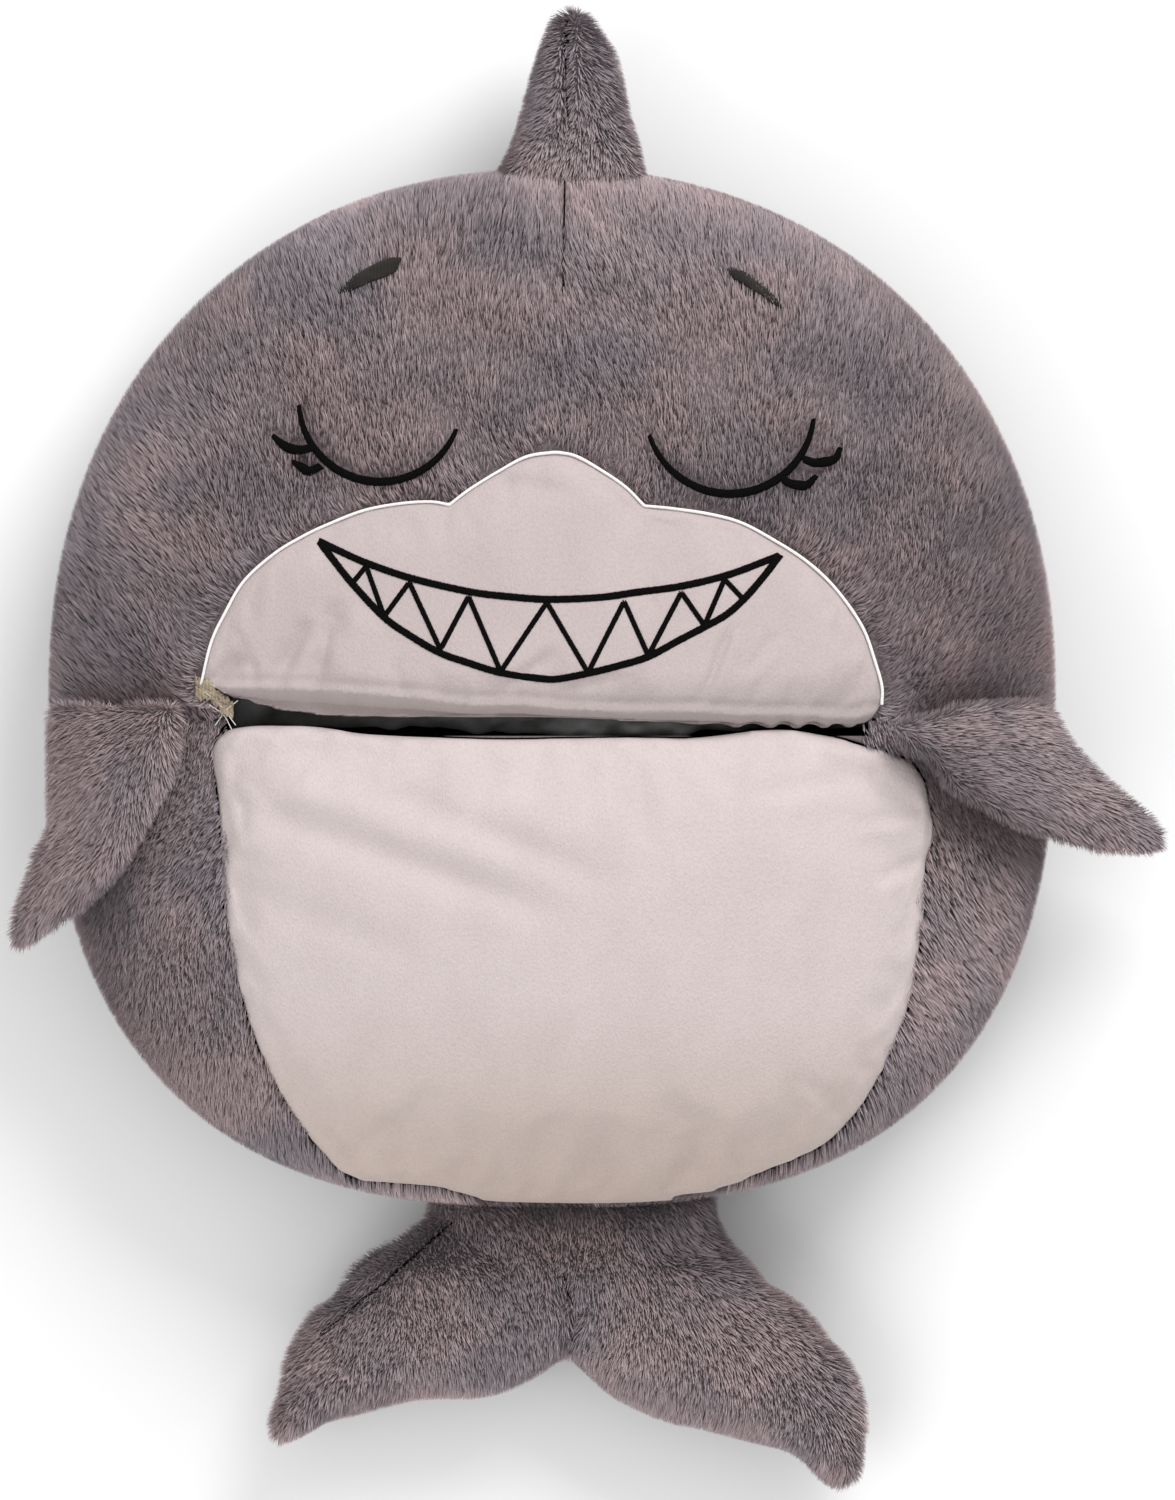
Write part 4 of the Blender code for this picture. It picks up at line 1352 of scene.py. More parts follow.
class Surface:
    """A finished piece's upper surface, for laying things on it."""

    def __init__(self, thing: Thing) -> None:
        """Reads the piece's mesh."""
        bm = bmesh.new()
        bm.from_mesh(thing.data)
        self.tree = BVHTree.FromBMesh(bm)
        bm.free()

    def at(self, plan: Array) -> tuple[Array, Array]:
        """The surface's points and outward directions over plan points."""
        places, ways = [], []
        for x, y in plan:
            hit, normal, _, _ = self.tree.ray_cast(Vector((x, y, 0.5)), Vector((0, 0, -1)))
            if hit is None:
                hit, normal, _, _ = self.tree.find_nearest(
                    Vector((x, y, float(FORM.dome(np.array(x), np.array(y)))))
                )
            places.append(hit)
            ways.append(normal)
        return np.array(places), np.array(ways)


# ---- sub-assemblies ------------------------------------------------------------------


@dataclass
class Pelt:
    """How far the backing lies inside the fur's outer surface, and what all furred pieces share."""

    finishes: Finishes
    tree: FurTree
    depth: float = 0.0055
    floor: float = 0.0008
    bare_below: float = 0.010
    fade: float = 0.008

    def swell(self, seed: int, points: Array) -> Array:
        """The unevenness of the stuffing under the body's fur."""
        return Waves(seed, 0.045).at(points) * 0.0012

    def above_floor(self, z: Array) -> Array:
        """The growth of fur at a height: none near the floor."""
        return np.clip((z - self.bare_below) / self.fade, 0, 1)

    def combed(self, seed: int, points: Array, way: float) -> Array:
        """Directions up or down the body that wander to both sides."""
        sway = 0.28 * Waves(seed, 0.11).at(points)
        return np.column_stack([sway, np.full_like(sway, way), np.zeros_like(sway)])


@dataclass
class Head:
    """The upper half of the pillow body, with eyes and brows."""

    pelt: Pelt
    edge_y: float = -0.0135
    seam_x: float = 0.006
    seam_low: float = 0.200
    dart_depth: float = 0.003
    dart_width: float = 0.006
    dart_fade: float = 0.03
    muzzle_margin: float = 0.0015
    eye_width: float = 0.0056
    brow_height: float = 0.0014
    mouth_cut: tuple[float, float, float, float] = (-0.164, 0.157, 0.004, 0.04)

    def eyes(self) -> list[tuple[str, Array, Array]]:
        """The embroidered eye lines: name, plan points and stitch widths."""
        lines = []
        for name, (cx, cy), radius, start, end in EYE_ARCS:
            angle = np.radians(np.linspace(start, end, 60))
            plan = np.column_stack([cx + radius * np.cos(angle), cy + radius * np.sin(angle)]) * MM
            taper = np.sin(np.linspace(0.25, math.pi - 0.25, 60)) ** 0.5
            lines.append((name, plan, self.eye_width * np.maximum(0.45, taper)))
        for name, points in LASHES:
            plan = smooth_line(points, 0.0008)
            swell = np.interp(np.linspace(0, 1, len(plan)), [0, 0.55, 1], [0.0050, 0.0068, 0.0030])
            lines.append((name, plan, swell))
        return lines

    def cover(self) -> Thing:
        """The backing, as one stuffed form that ends at the mouth."""
        pelt = self.pelt
        cover = body_solid("head_cover", pelt.depth, *COVER_GRID, pelt.finishes["backing"])
        points = coordinates(cover)
        raise_points(cover, points, -0.5 * self.dart(points), pelt.floor)
        left, right, edge, low = self.mouth_cut
        cut(cover, box_tool(CUT_LOW, (CUT_HIGH[0], self.edge_y, CUT_HIGH[2])))
        cut(cover, box_tool((left, CUT_LOW[1], low), (right, edge, CUT_HIGH[2])))
        return cover

    def dart(self, points: Array) -> Array:
        """How deep the centre seam pulls the head in at each point."""
        off = np.abs(points[:, 0] - self.seam_x)
        run = np.clip((points[:, 1] - self.seam_low) / self.dart_fade, 0, 1)
        pull = self.dart_depth * run * np.exp(-((off / self.dart_width) ** 2))
        return pull * (points[:, 2] > FORM.rim_z)

    def coat(self) -> list[Thing]:
        """The head's fur: combed up, and outwards round the muzzle."""
        scalp = body_solid("head_scalp", self.pelt.depth, *SCALP_GRID)
        points = coordinates(scalp)
        points[:, 2] -= self.dart(points)
        raise_points(scalp, points, self.pelt.swell(5, points), self.pelt.floor)
        x, y, z = points.T
        front = z > FORM.rim_z
        muzzle = muzzle_outline(0.002)
        off, number = nearest(muzzle, x, y)
        within = inside(muzzle, x, y) & front
        growth = np.where(y > self.edge_y + 0.001, 1.0, 0.0)
        growth *= np.where(within | ((off < self.muzzle_margin) & front), 0.0, 1.0)
        slit = (x > SLIT_LEFT) & (x < SLIT_RIGHT) & (y < self.mouth_cut[2])
        growth *= np.where(slit & front, 0.0, 1.0)
        growth *= self.pelt.above_floor(z)
        for _, plan, width in self.eyes():
            near, _ = nearest(plan, x, y)
            growth *= np.where((near < width.max() * 0.6) & front, 0.05, 1.0)
        comb = self.pelt.combed(11, points, 1.0)
        outward = np.column_stack([x - muzzle[number, 0], y - muzzle[number, 1]])
        outward /= np.maximum(np.linalg.norm(outward, axis=1), 1e-6)[:, None]
        outward[within] *= -1
        pull = 0.7 * np.exp(-((off / 0.012) ** 2)) * front
        comb[:, :2] = comb[:, :2] * (1 - pull[:, None]) + 1.2 * outward * pull[:, None]
        return Coat("head_fur", 3, pieces=4).grow(self.pelt.tree, scalp, growth, comb)

    def embroider(self, thread: StitchTree) -> list[Thing]:
        """The eyelids and lashes in satin stitch."""
        found: dict[str, list[Thing]] = {"left": [], "right": []}
        for number, (side, plan, width) in enumerate(self.eyes()):
            x, y = plan.T
            out = FORM.normal(x, y)
            points = np.column_stack([plan, FORM.dome(x, y)]) + out * 0.0012
            line = add_line("eye_line", points, out, width, 0.0024)
            found[side].append(thread.apply("eye_line", line, {**EYE_STITCH, "Seed": number}))
        return [merged(f"{side}_eye_stitching", items) for side, items in found.items()]

    def seam(self, thread: StitchTree) -> Thing:
        """The thin dark line of the dart below the fin, sunk in the pile."""
        y = np.linspace(0.262, self.seam_low + 0.001, 60)
        plan = np.column_stack([np.interp(y, [0.2, 0.26], [0.0055, 0.0065]), y])
        out = FORM.normal(*plan.T)
        points = np.column_stack([plan, FORM.dome(*plan.T)]) - out * 0.0030
        return sewn("head_dart_stitching", points, out, thread)

    def brow(self, side: str, edge: Plan) -> Thing:
        """A leaf of dark felt."""
        loop = smooth_line(edge, 0.0012, closed=True)
        centre = loop.mean(axis=0)

        leaf = pillow(f"{side}_brow_felt", loop, centre, 14, above_dome(-0.003), above_dome(-0.002),
                      above_dome(self.brow_height), 0.6, self.pelt.finishes["felt"])
        points = coordinates(leaf)
        points[:, 2] += Waves(8, 0.006).at(points) * 0.0004
        move_points(leaf, points)
        return leaf

    def make(self, thread: StitchTree) -> None:
        """Builds and places the head."""
        cover = self.cover()
        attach(cover, Body.BODY.value)
        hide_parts("head_front_panel", "head_back_panel", "head_filling")
        for coat in self.coat():
            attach(coat, Body.BODY.value)
        for piece, node in zip(self.embroider(thread), ("left", "right")):
            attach(piece, Body.BODY.value)
            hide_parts(f"{node}_eye_embroidery")
        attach(self.seam(thread), Body.BODY.value)
        for side, edge in BROWS.items():
            leaf = self.brow(side, edge)
            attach(leaf, Body.BODY.value)
            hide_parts(f"{side}_brow_patch")
        log.info("head: cover, fur, eyes and brows")


@dataclass
class Muzzle:
    """The pale muzzle with its hem, rolled lip, stitched edge and grin."""

    finishes: Finishes
    crown: float = 0.0025
    rim_drop: float = 0.0015
    depth: float = 0.010
    hem_height: float = 0.0012
    hem_groove: float = 0.0011
    hem_gather: float = 0.0006
    lip_gather: float = 0.0035
    edge_width: float = 0.0016
    outline_width: float = 0.0046
    tooth_width: float = 0.0033

    def panel(self) -> Thing:
        """The padded velour panel."""
        loop = muzzle_outline(0.003)

        panel = pillow("muzzle_pad", loop, np.array([-0.004, 0.034]), 36, above_dome(-self.depth),
                       above_dome(-self.rim_drop), above_dome(self.crown), 0.45, self.finishes["muzzle"])

        swelling = Inflation(voxel=0.003, pressure=2.0, spare_cloth=0.02, cap=0.003)
        swelling.run(panel, pinned_rim(loop, 0.006, 0.004))
        points = coordinates(panel)
        x, y, z = points.T
        top = z > FORM.dome(x, y) - 0.004
        lift = Waves(21, 0.06).at(points) * 0.0006
        for crease in MUZZLE_CREASES:
            lift += crease.drop(x, y)
        hem = smooth_line(MUZZLE_HEM, 0.002)
        off, number = nearest(hem, x, y)
        below = y < hem[number, 1]
        lift += np.where(below, -1.5 * off, 0.0) + self.hem_height * np.exp(-((off / 0.0022) ** 2))
        groove = np.exp(-(((y - hem[number, 1] - 0.005) / 0.0020) ** 2)) * (off < 0.012)
        lift -= self.hem_groove * groove
        gathers = np.sin(x / 0.0024 + 0.4 * np.sin(x / 0.009))
        gathers *= np.exp(-(((x - 0.125) / 0.032) ** 2)) * np.clip(off / 0.004, 0, 1)
        gathers *= np.exp(-((off / 0.009) ** 2))
        lift += np.where(below, self.lip_gather, self.hem_gather) * gathers
        points[:, 2] += np.where(top, lift, 0.0)
        move_points(panel, points)
        return panel

    def stitch(self, surface: Surface, tree: StitchTree, plan: Array, width: float) -> Thing:
        """A satin line of the grin, laid on the panel."""
        points, out = surface.at(plan)
        line = add_line("grin_line", points, out, np.full(len(plan), width), 0.0017)
        return tree.apply("grin_line", line, GRIN_STITCH)

    def edging(self, surface: Surface, tree: StitchTree) -> Thing:
        """The bright satin line along the upper edge, at an even height."""
        line = muzzle_top(0.0012)
        line *= (1 - 0.0009 / np.linalg.norm(line, axis=1))[:, None]
        inner = line * (1 - 0.0022 / np.linalg.norm(line, axis=1))[:, None]
        points, out = surface.at(inner)
        blur = np.ones(13) / 13
        padded = np.pad(np.column_stack([points[:, 2], out]), ((6, 6), (0, 0)), mode="edge")
        even = np.column_stack([np.convolve(column, blur, "valid") for column in padded.T])
        points = np.column_stack([line, even[:, 0] - 0.0002])
        path = add_line("edge_line", points, even[:, 1:], np.full(len(line), self.edge_width), 0.0018)
        return tree.apply("muzzle_edge_stitching", path, EDGE_STITCH)

    def make(self, thread: StitchTree, edge_thread: StitchTree) -> None:
        """Builds and places the muzzle."""
        panel = self.panel()
        surface = Surface(panel)
        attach(panel, Body.BODY.value)
        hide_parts("muzzle_panel")
        edge = self.edging(surface, edge_thread)
        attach(edge, Body.BODY.value)
        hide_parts("muzzle_edge_stitch")
        grin = merged("grin_stitching", [
            self.stitch(surface, thread, smooth_line(GRIN_UPPER, 0.0012), self.outline_width),
            self.stitch(surface, thread, smooth_line(GRIN_LOWER, 0.0012), self.outline_width),
            self.stitch(surface, thread, even_line(np.array(TEETH) * MM, 0.001), self.tooth_width),
        ])
        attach(grin, Body.BODY.value)
        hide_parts("grin_embroidery")
        log.info("muzzle: pad, edge and grin")


@dataclass
class Pouch:
    """The lower half of the body: furred sides and back, with a lined pouch."""

    pelt: Pelt
    slit_low: float = -0.0225
    seam_y: float = -0.0150
    pouch_floor: float = 0.012
    wall_share: float = 0.35

    def cover(self) -> Thing:
        """The backing with the pouch hollowed out."""
        pelt = self.pelt
        cover = body_solid("pouch_cover", pelt.depth, *COVER_GRID, pelt.finishes["backing"])
        raise_points(cover, coordinates(cover), 0.0, pelt.floor)
        cut(cover, box_tool((CUT_LOW[0], self.seam_y, CUT_LOW[2]), CUT_HIGH))
        cut(cover, box_tool((SLIT_LEFT, self.slit_low, self.pouch_floor),
                            (SLIT_RIGHT, 0.05, CUT_HIGH[2])))
        belly = inset_loop(smooth_line(BELLY_EDGE, 0.008, closed=True), 0.001)
        cut(cover, prism_tool(belly, self.pouch_floor, CUT_HIGH[2]))
        return cover

    def coat(self) -> list[Thing]:
        """The fur of the sides, combed down."""
        scalp = body_solid("pouch_scalp", self.pelt.depth, *SCALP_GRID)
        points = coordinates(scalp)
        raise_points(scalp, points, self.pelt.swell(6, points), self.pelt.floor)
        x, y, z = points.T
        belly = smooth_line(BELLY_EDGE, 0.003, closed=True)
        off, _ = nearest(belly, x, y)
        within = inside(belly, x, y) & (z > FORM.rim_z)
        growth = np.where(y < self.seam_y + 0.002, 1.0, 0.0)
        growth *= np.where(within & (off > 0.002), 0.0, 1.0)
        open_here = (x > SLIT_LEFT) & (x < SLIT_RIGHT) & (y > -0.03)
        growth *= np.where(open_here & (z > 0.03), 0.0, 1.0)
        growth *= self.pelt.above_floor(z)
        comb = self.pelt.combed(12, points, -1.0)
        return Coat("pouch_fur", 4, pieces=3).grow(self.pelt.tree, scalp, growth, comb)

    def lining(self) -> Thing:
        """The grey bag inside the pouch."""
        inner = inset_loop(smooth_line(BELLY_EDGE, 0.01, closed=True), 0.004)
        centre = np.array([0.006, -0.130])
        crumple = Waves(31, 0.05)

        def point(around: Array, down: Array) -> Array:
            rim = loop_points(inner, around)
            fall = np.clip(down / self.wall_share, 0, 1)
            reach = np.clip((down - self.wall_share) / (1 - self.wall_share), 0, 1)
            flat = 1 - 0.03 * fall - 0.96 * reach
            plan = centre + (rim - centre) * flat[:, None]
            high = np.minimum(FORM.dome(rim[:, 0], rim[:, 1]) - 0.012, 0.11)
            z = high + (self.pouch_floor + 0.003 - high) * np.sin(fall * math.pi / 2)
            z += np.abs(crumple.at(np.column_stack([plan, z])) * 0.001)
            return np.column_stack([plan, z])

        return Sheet("pouch_lining_cloth", 90, 36).build(point, self.pelt.finishes["lining"])

    def make(self) -> None:
        """Builds and places the pouch."""
        cover = self.cover()
        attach(cover, Body.BODY.value)
        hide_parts("pouch_side_left", "pouch_side_right", "pouch_back_panel")
        for coat in self.coat():
            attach(coat, Body.BODY.value)
        bag = self.lining()
        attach(bag, Body.BODY.value)
        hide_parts("pouch_lining")
        log.info("pouch: cover, fur and lining")


@dataclass
class Mouth:
    """The lining that shows in the slit under the muzzle."""

    finishes: Finishes
    half: float = 0.160
    bulge: float = 0.3
    fall: float = 0.075

    def fray(self) -> Thing:
        """The frayed scrap of backing that shows at the left end of the mouth."""
        ragged = Waves(43, 0.004)

        def point(across: Array, down: Array) -> Array:
            x = -0.1780 + 0.0190 * across
            y = 0.0035 - 0.0130 * across + 0.0105 * (down - 0.5) * (1 - 0.3 * across)
            here = np.column_stack([x, y, down * 0.01])
            y = y + 0.0022 * ragged.at(here) * np.abs(down * 2 - 1)
            z = FORM.dome(x, y) - 0.0008 + 0.0007 * ragged.at(here * 2)
            return np.column_stack([x, y, z])

        return Sheet("mouth_corner_fray", 30, 14, 0.0008).build(point, self.finishes["fray"])

    def threads(self, tree: StitchTree) -> Thing:
        """Loose threads across the left end of the mouth."""
        strands = []
        for number, points in enumerate(LOOSE_THREADS):
            plan = smooth_line(points, 0.0006)
            out = FORM.normal(*plan.T)
            path = np.column_stack([plan, FORM.dome(*plan.T)]) - out * 0.0006
            line = add_line("loose_thread", path, out, np.full(len(plan), 0.0006), 0.0006)
            strands.append(tree.apply("loose_thread", line, {**LOOSE_STITCH, "Seed": number}))
        return merged("mouth_corner_threads", strands)

    def lining(self) -> Thing:
        """The wrinkled lining behind the lip: it bulges in the middle, then falls."""
        folds = Waves(41, 0.030)
        fine = Waves(42, 0.012)

        def point(across: Array, down: Array) -> Array:
            x = (across * 2 - 1) * self.half
            lip = np.interp(x, [-0.16, -0.11, -0.03, 0.1, 0.16], [0.002, -0.004, -0.009, -0.011,
                                                                 -0.013])
            out = np.exp(-(((x - 0.030) / 0.075) ** 4))
            top = FORM.dome(x, np.full_like(x, -0.012)) - 0.017 + 0.0105 * out
            slope = np.clip(down / self.bulge, 0, 1)
            y = lip + (-0.0175 - 0.004 * out - lip) * slope
            z = top - 0.009 * slope
            z = z - self.fall * np.clip((down - self.bulge) / (1 - self.bulge), 0, 1)
            here = np.column_stack([x * 0.7 + slope * 0.012, slope * 0.014, np.zeros_like(x)])
            wave = 0.6 * folds.at(here) + 0.8 * fine.at(here)
            z = z + (0.0022 + 0.0020 * out) * wave * (1 - 0.3 * slope)
            return np.column_stack([x, y - 0.0012 * wave * slope, z])

        return Sheet("mouth_lining_cloth", 220, 34).build(point, self.finishes["lining"])

    def make(self, thread: StitchTree) -> None:
        """Builds and places the lip's lining and the frayed corner."""
        scrap = self.fray()
        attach(scrap, Body.BODY.value)
        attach(self.threads(thread), Body.BODY.value)
        cloth = self.lining()
        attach(cloth, Body.BODY.value)
        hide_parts("mouth_lip_lining")
        log.info("mouth: lining")


@dataclass
class Belly:
    """The padded belly flap and its lining."""

    finishes: Finishes
    crown: float = 0.0020
    rim_drop: float = 0.0050
    batting: float = 0.028
    skirt: float = 0.045
    turn: float = 0.8

    def under(self, x: Array, y: Array) -> Array:
        """The height of the padding's underside."""
        room = FORM.dome(x, y) - FORM.rim_z
        return FORM.dome(x, y) - np.minimum(self.batting, 0.010 + room * 0.45)

    def pad(self) -> Thing:
        """The padded velour panel."""
        loop = inset_loop(smooth_line(BELLY_EDGE, 0.004, closed=True), 0.0015)

        pad = pillow("belly_pad", loop, BELLY_CENTRE, 40, self.under,
                     above_dome(-self.rim_drop), above_dome(self.crown), 0.42, self.finishes["belly"])

        swelling = Inflation(voxel=0.005, pressure=2.5, spare_cloth=0.03, cap=0.005)
        swelling.run(pad, pinned_rim(loop, 0.009, 0.0045))
        points = coordinates(pad)
        x, y, z = points.T
        lift = Waves(22, 0.085).at(points) * 0.0012
        for crease in BELLY_CREASES:
            lift += crease.drop(x, y)
        off, _ = nearest(loop, x, y)
        pucker = Waves(23, 0.013).at(points * np.array([1.0, 1.0, 0.0]))
        lift += 0.0007 * pucker * np.exp(-((off / 0.009) ** 2))
        points[:, 2] += np.where(z > FORM.dome(x, y) - 0.0075, lift, 0.0)
        move_points(pad, points)
        return pad

    def lining(self) -> Thing:
        """The lining under the padding, with a skirt that closes the sides of a lifted flap."""
        inner = inset_loop(smooth_line(BELLY_EDGE, 0.01, closed=True), 0.0105)
        crumple = Waves(32, 0.04)

        def point(around: Array, down: Array) -> Array:
            rim = loop_points(inner, around)
            flat = np.clip(down / self.turn, 0.02, 1)
            plan = BELLY_CENTRE + (rim - BELLY_CENTRE) * flat[:, None]
            skirt = np.clip((down - self.turn) / (1 - self.turn), 0, 1)
            room = np.clip((rim[:, 1] + 0.245) / 0.2, 0, 1) * self.skirt
            z = self.under(plan[:, 0], plan[:, 1]) - 0.0025 - skirt * room
            z = z - 0.0008 * np.abs(crumple.at(np.column_stack([plan, z])))
            return np.column_stack([plan, z])

        return Sheet("belly_lining_cloth", 100, 34).build(point, self.finishes["lining"])

    def make(self) -> None:
        """Builds and places the belly flap."""
        pad = self.pad()
        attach(pad, Body.BELLY.value)
        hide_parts("belly_panel", "belly_batting")
        cloth = self.lining()
        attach(cloth, Body.BELLY.value)
        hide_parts("belly_lining")
        log.info("belly: pad and lining")


@dataclass
class Sack:
    """The small sleeping sack, folded in four inside the pouch."""

    finishes: Finishes
    width: float = 0.24
    fold: float = 0.105
    pitch: float = 0.015
    layers: int = 4
    cloth: float = 0.004
    centre_y: float = -0.128
    low_z: float = 0.026

    def side(self, offset: float) -> Array:
        """The folded sack's side view, moved by the offset: straight layers and half turns."""
        points = []
        for layer in range(self.layers):
            sign = 1 if layer % 2 == 0 else -1
            z = self.low_z + self.pitch * layer
            shift = offset * sign
            for t in np.linspace(-1, 1, 16):
                points.append((sign * t * self.fold / 2, z + shift))
            if layer < self.layers - 1:
                reach = self.pitch / 2 - shift
                for angle in np.radians(np.linspace(-75, 75, 7)):
                    points.append((sign * (self.fold / 2 + reach * math.cos(angle)),
                                   z + self.pitch / 2 + reach * math.sin(angle)))
        return np.array(points) + np.array([self.centre_y, 0.0])

    def make(self) -> None:
        """Builds and places the two cloths of the sack."""
        for name, node, offset, finish, slot, seed in (
            ("sack_outer_cloth", "sack_shell", -0.6 * self.cloth, "sack", Slot.SACK, 51),
            ("sack_inner_cloth", "sack_lining", 0.6 * self.cloth, "lining", Slot.LINING, 52),
        ):
            path = even_line(self.side(offset), 0.004)
            length = float(np.linalg.norm(np.diff(path, axis=0), axis=1).sum())
            wrinkle = Waves(seed, 0.06)

            def point(across: Array, along: Array) -> Array:
                at = along * (len(path) - 1)
                k = np.minimum(np.floor(at).astype(int), len(path) - 2)
                place = path[k] + (path[k + 1] - path[k]) * (at - k)[:, None]
                x = (across - 0.5) * self.width
                z = place[:, 1] + 0.0006 * wrinkle.at(np.column_stack([x, place]))
                return np.column_stack([x, place[:, 0], z])

            cloth = Sheet(name, 48, len(path), self.cloth * 0.8).build(point, self.finishes[finish])
            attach(cloth, Body.BODY.value)
            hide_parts(node)
        log.info("sack: two folded cloths")


@dataclass
class Limb:
    """A stuffed, furred limb that bends at its root."""

    pelt: Pelt
    name: str
    body: Body
    edge: Plan
    centre: tuple[float, float]
    half: float
    nodes: tuple[str, ...]
    bend_from: Colour
    bend_to: Colour
    comb: tuple[float, float]
    seed: int
    level: Height
    creases: tuple[Crease, ...] = ()
    seams: tuple[Plan, ...] = ()
    # Painted shade for the limb's fur: a negative value darkens it.
    painted_shade_tone: float = 0.0
    power: float = 0.75
    fur_pieces: int = 1

    def cover(self) -> Thing:
        """The stuffed backing."""
        loop = inset_loop(smooth_line(self.edge, 0.004, closed=True), self.pelt.depth)
        middle, half = self.level, self.half - PILE
        cover = pillow(
            f"{self.name}_cover", loop, np.array(self.centre) * MM, 24,
            lambda x, y: middle(x, y) - half, middle, lambda x, y: middle(x, y) + half,
            self.power, self.pelt.finishes["backing"],
        )

        def held(points: Array) -> Array:
            start, end = np.array(self.bend_from), np.array(self.bend_to)
            run = end - start
            t = (points - start) @ run / (run @ run)
            return np.clip(1 - t, 0, 1)

        Inflation(voxel=0.0045, pressure=2.0, spare_cloth=0.02, cap=0.0025).run(cover, held)
        points = coordinates(cover)
        x, y, z = points.T
        lift = Waves(self.seed + 60, 0.05).at(points) * 0.0009
        for crease in self.creases:
            lift += crease.drop(x, y)
        points[:, 2] += np.where(z > middle(x, y), lift, -lift)
        points[:, 2] = np.maximum(points[:, 2], self.pelt.floor)
        move_points(cover, points)
        return cover

    def coat(self, cover: Thing) -> list[Thing]:
        """The limb's fur, combed towards its tip."""
        scalp = copy_of(cover, f"{self.name}_scalp")
        points = coordinates(scalp)
        growth = np.clip((points[:, 2] - self.pelt.bare_below) / 0.006, 0, 1)
        for crease in self.creases:
            sunk = -crease.drop(points[:, 0], points[:, 1]) / (crease.depth * MM)
            growth *= np.clip(1.1 - sunk, 0.25, 1)
        comb = np.zeros_like(points)
        comb[:, :2] = self.comb
        sway = Waves(self.seed + 70, 0.09).at(points)
        comb[:, 0] += 0.4 * sway * abs(self.comb[1])
        comb[:, 1] += 0.4 * sway * abs(self.comb[0])
        coat = Coat(f"{self.name}_fur", self.seed, self.fur_pieces, painted_shade_tone=self.painted_shade_tone)
        return coat.grow(self.pelt.tree, scalp, growth, comb)

    def seam(self, surface: Surface, thread: StitchTree) -> Thing:
        """The thin dark lines where the limb's cloth is sewn, sunk in the pile."""
        lines = []
        for plan in self.seams:
            points, out = surface.at(smooth_line(plan, 0.0012))
            lines.append(sewn("seam_line", points + out * 0.0026, out, thread))
        return merged(f"{self.name}_seam_stitching", lines)

    def make(self, thread: StitchTree) -> None:
        """Builds the limb and lets it bend at its root."""
        cover = self.cover()
        pieces = [cover, *self.coat(cover)]
        if self.seams:
            pieces.append(self.seam(Surface(cover), thread))
        for piece in pieces:
            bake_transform(piece, Body.BODY.value, self.body.value, self.bend_from, self.bend_to)
        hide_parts(*self.nodes)
        log.info("%s: cover and fur", self.name)


# Where a flipper leaves the body's front, its middle's height there, and how steeply it falls.
DRAPE_SHARE, DRAPE_RISE, DRAPE_FALL = 0.93, 0.017, 0.19


def draped(x: Array, y: Array) -> Array:
    """The middle height of a flipper that lies on the body and hangs past its side."""
    share = FORM.share(x, y)
    scale = np.minimum(1.0, DRAPE_SHARE / share)
    fall = DRAPE_FALL * np.maximum(0, share - DRAPE_SHARE)
    return FORM.dome(x * scale, y * scale) + DRAPE_RISE - fall


def limbs(pelt: Pelt) -> list[Limb]:
    """The fin, the tail and the two flippers."""
    return [
        Limb(pelt, "fin", Body.FIN, FIN_EDGE, (8, 288), 0.025,
             ("fin_left_panel", "fin_right_panel", "fin_filling"),
             (0.0075, 0.258, 0.0885), (0.0075, 0.285, 0.0885), (0.0, -1.0), 5, flat_level(0.062),
             (Crease((7.5, 350), (8, 268), 2.4, 3.0),),
             ([(6.5, 334), (8, 305), (8.5, 277)],)),
        Limb(pelt, "tail", Body.TAIL, TAIL_EDGE, (6, -300), 0.026,
             ("tail_front_panel", "tail_back_panel", "tail_filling"),
             (0.008, -0.257, 0.0675), (0.008, -0.290, 0.0675), (0.0, -1.0), 6, flat_level(0.040),
             (Crease((6, -340), (16, -300), 3.0, 3.5),
              Crease((-58, -263), (-124, -313), 2.2, 2.0),
              Crease((6, -318), (6, -286), 4.0, 1.8)),
             ([(-49, -267), (-83, -297), (-115, -323)],
              [(6.5, -330), (12, -317), (9, -303), (6, -292)]), fur_pieces=2),
        Limb(pelt, "left_flipper", Body.LEFT_FLIPPER, LEFT_FLIPPER_EDGE, (-222, -55), 0.014,
             ("left_flipper_top_panel", "left_flipper_under_panel", "left_flipper_filling"),
             (-0.218, 0.002, 0.115), (-0.224, -0.024, 0.112), (-0.25, -1.0), 7, draped),
        # The right flipper's fur is darkened by painted shade.
        Limb(pelt, "right_flipper", Body.RIGHT_FLIPPER, RIGHT_FLIPPER_EDGE, (225, -38), 0.014,
             ("right_flipper_top_panel", "right_flipper_under_panel", "right_flipper_filling"),
             (0.214, 0.002, 0.117), (0.222, -0.024, 0.114), (0.9, -0.55), 8, draped,
             (Crease((190, -46), (300, -78), 3.0, 1.2),), painted_shade_tone=-0.35),
    ]


# ---- studio --------------------------------------------------------------------------


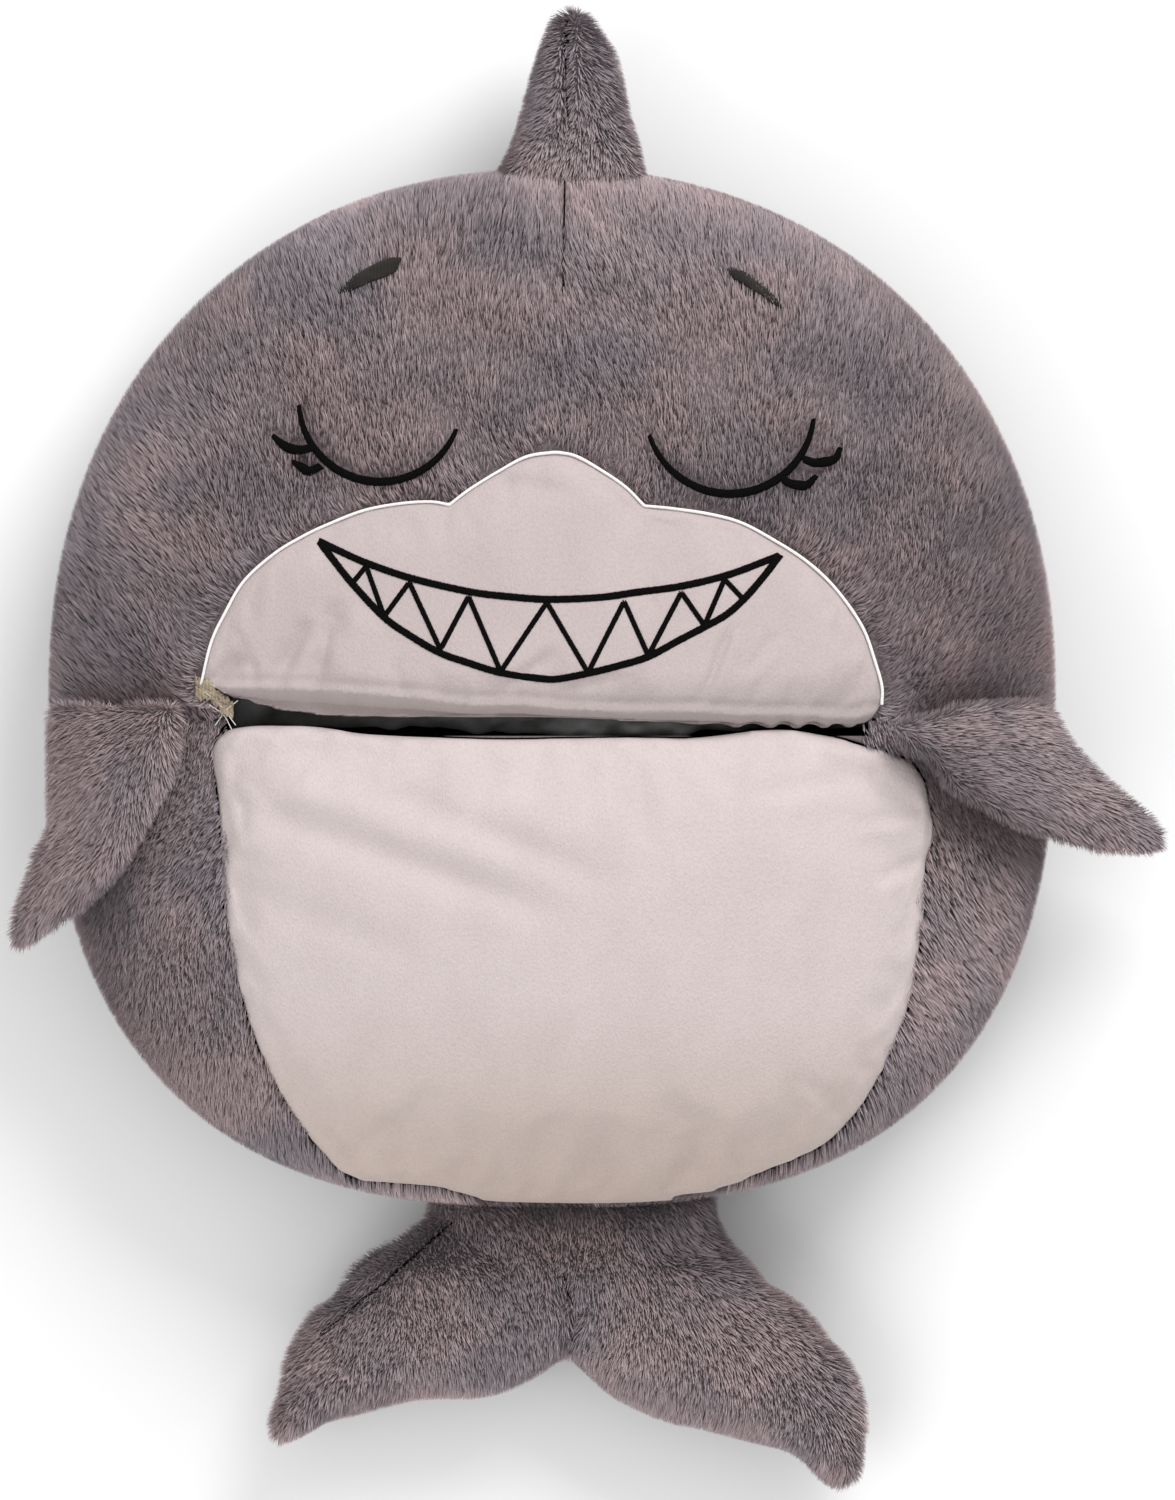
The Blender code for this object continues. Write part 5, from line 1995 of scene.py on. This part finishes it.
@dataclass
class Studio:
    """Floor, light and camera."""

    centre: tuple[float, float] = (0.01775, -0.0295)
    view_height: float = 0.750
    lens: float = 700.0
    sensor: float = 36.0
    plane: float = 0.10
    clip_end: float = 40.0
    target: tuple[float, float, float] = (0, -0.03, 0.08)
    reach: float = 4.0
    room_light: float = 0.78

    def floor(self) -> None:
        """A wide pale floor."""
        verts = [(x * self.reach, y * self.reach, 0) for x, y in ((-1, -1), (1, -1), (1, 1), (-1, 1))]
        shader = Shader("studio_floor", 0.9, 0.1)
        shader.set("Base Color", (0.86, 0.86, 0.86, 1.0))
        floor = new_object("studio_floor", np.array(verts), [[0, 1, 2, 3]], shader.material)

    def light(self) -> None:
        """Soft light from above the head, with fill from the room."""
        world = bpy.data.worlds.new("studio")
        bpy.context.scene.world = world
        world.use_nodes = True
        backdrop = world.node_tree.nodes["Background"]
        backdrop.inputs["Color"].default_value = (1.0, 1.0, 1.0, 1.0)
        backdrop.inputs["Strength"].default_value = self.room_light
        for name, place, size, power in (
            ("key", (1.0, 1.9, 1.7), 1.5, 54.0),
            ("fill", (-1.3, -1.4, 1.9), 1.8, 20.0),
        ):
            data = bpy.data.lights.new(name, "AREA")
            data.size = size
            data.energy = power
            lamp = bpy.data.objects.new(name, data)
            lamp.location = place
            aim = Vector(self.target) - Vector(place)
            lamp.rotation_euler = aim.to_track_quat("-Z", "Y").to_euler()
            bpy.context.scene.collection.objects.link(lamp)

    def camera(self) -> None:
        """Straight down on the face, with the dorsal fin at the top."""
        data = bpy.data.cameras.new("camera")
        data.lens = self.lens
        data.sensor_width = self.sensor
        data.clip_end = self.clip_end
        camera = bpy.data.objects.new("camera", data)
        height = self.plane + self.view_height * self.lens / self.sensor
        camera.location = (*self.centre, height)
        bpy.context.scene.collection.objects.link(camera)
        bpy.context.scene.camera = camera

    def make(self) -> None:
        """Sets up the studio."""
        bpy.context.scene.view_settings.view_transform = "Standard"
        self.floor()
        self.light()
        self.camera()


def main() -> None:
    """Builds the toy piece by piece."""
    logging.basicConfig(level=logging.INFO, format="%(name)s: %(message)s")
    Studio().make()
    finishes = Finishes()
    pelt = Pelt(finishes, FurTree(finishes["fur"]))
    black = StitchTree(finishes["black"])
    white = StitchTree(finishes["edge"])
    Head(pelt).make(black)
    Muzzle(finishes).make(black, white)
    Pouch(pelt).make()
    Mouth(finishes).make(white)
    Belly(finishes).make()
    Sack(finishes).make()
    for limb in limbs(pelt):
        limb.make(black)


if __name__ == "__main__":
    main()
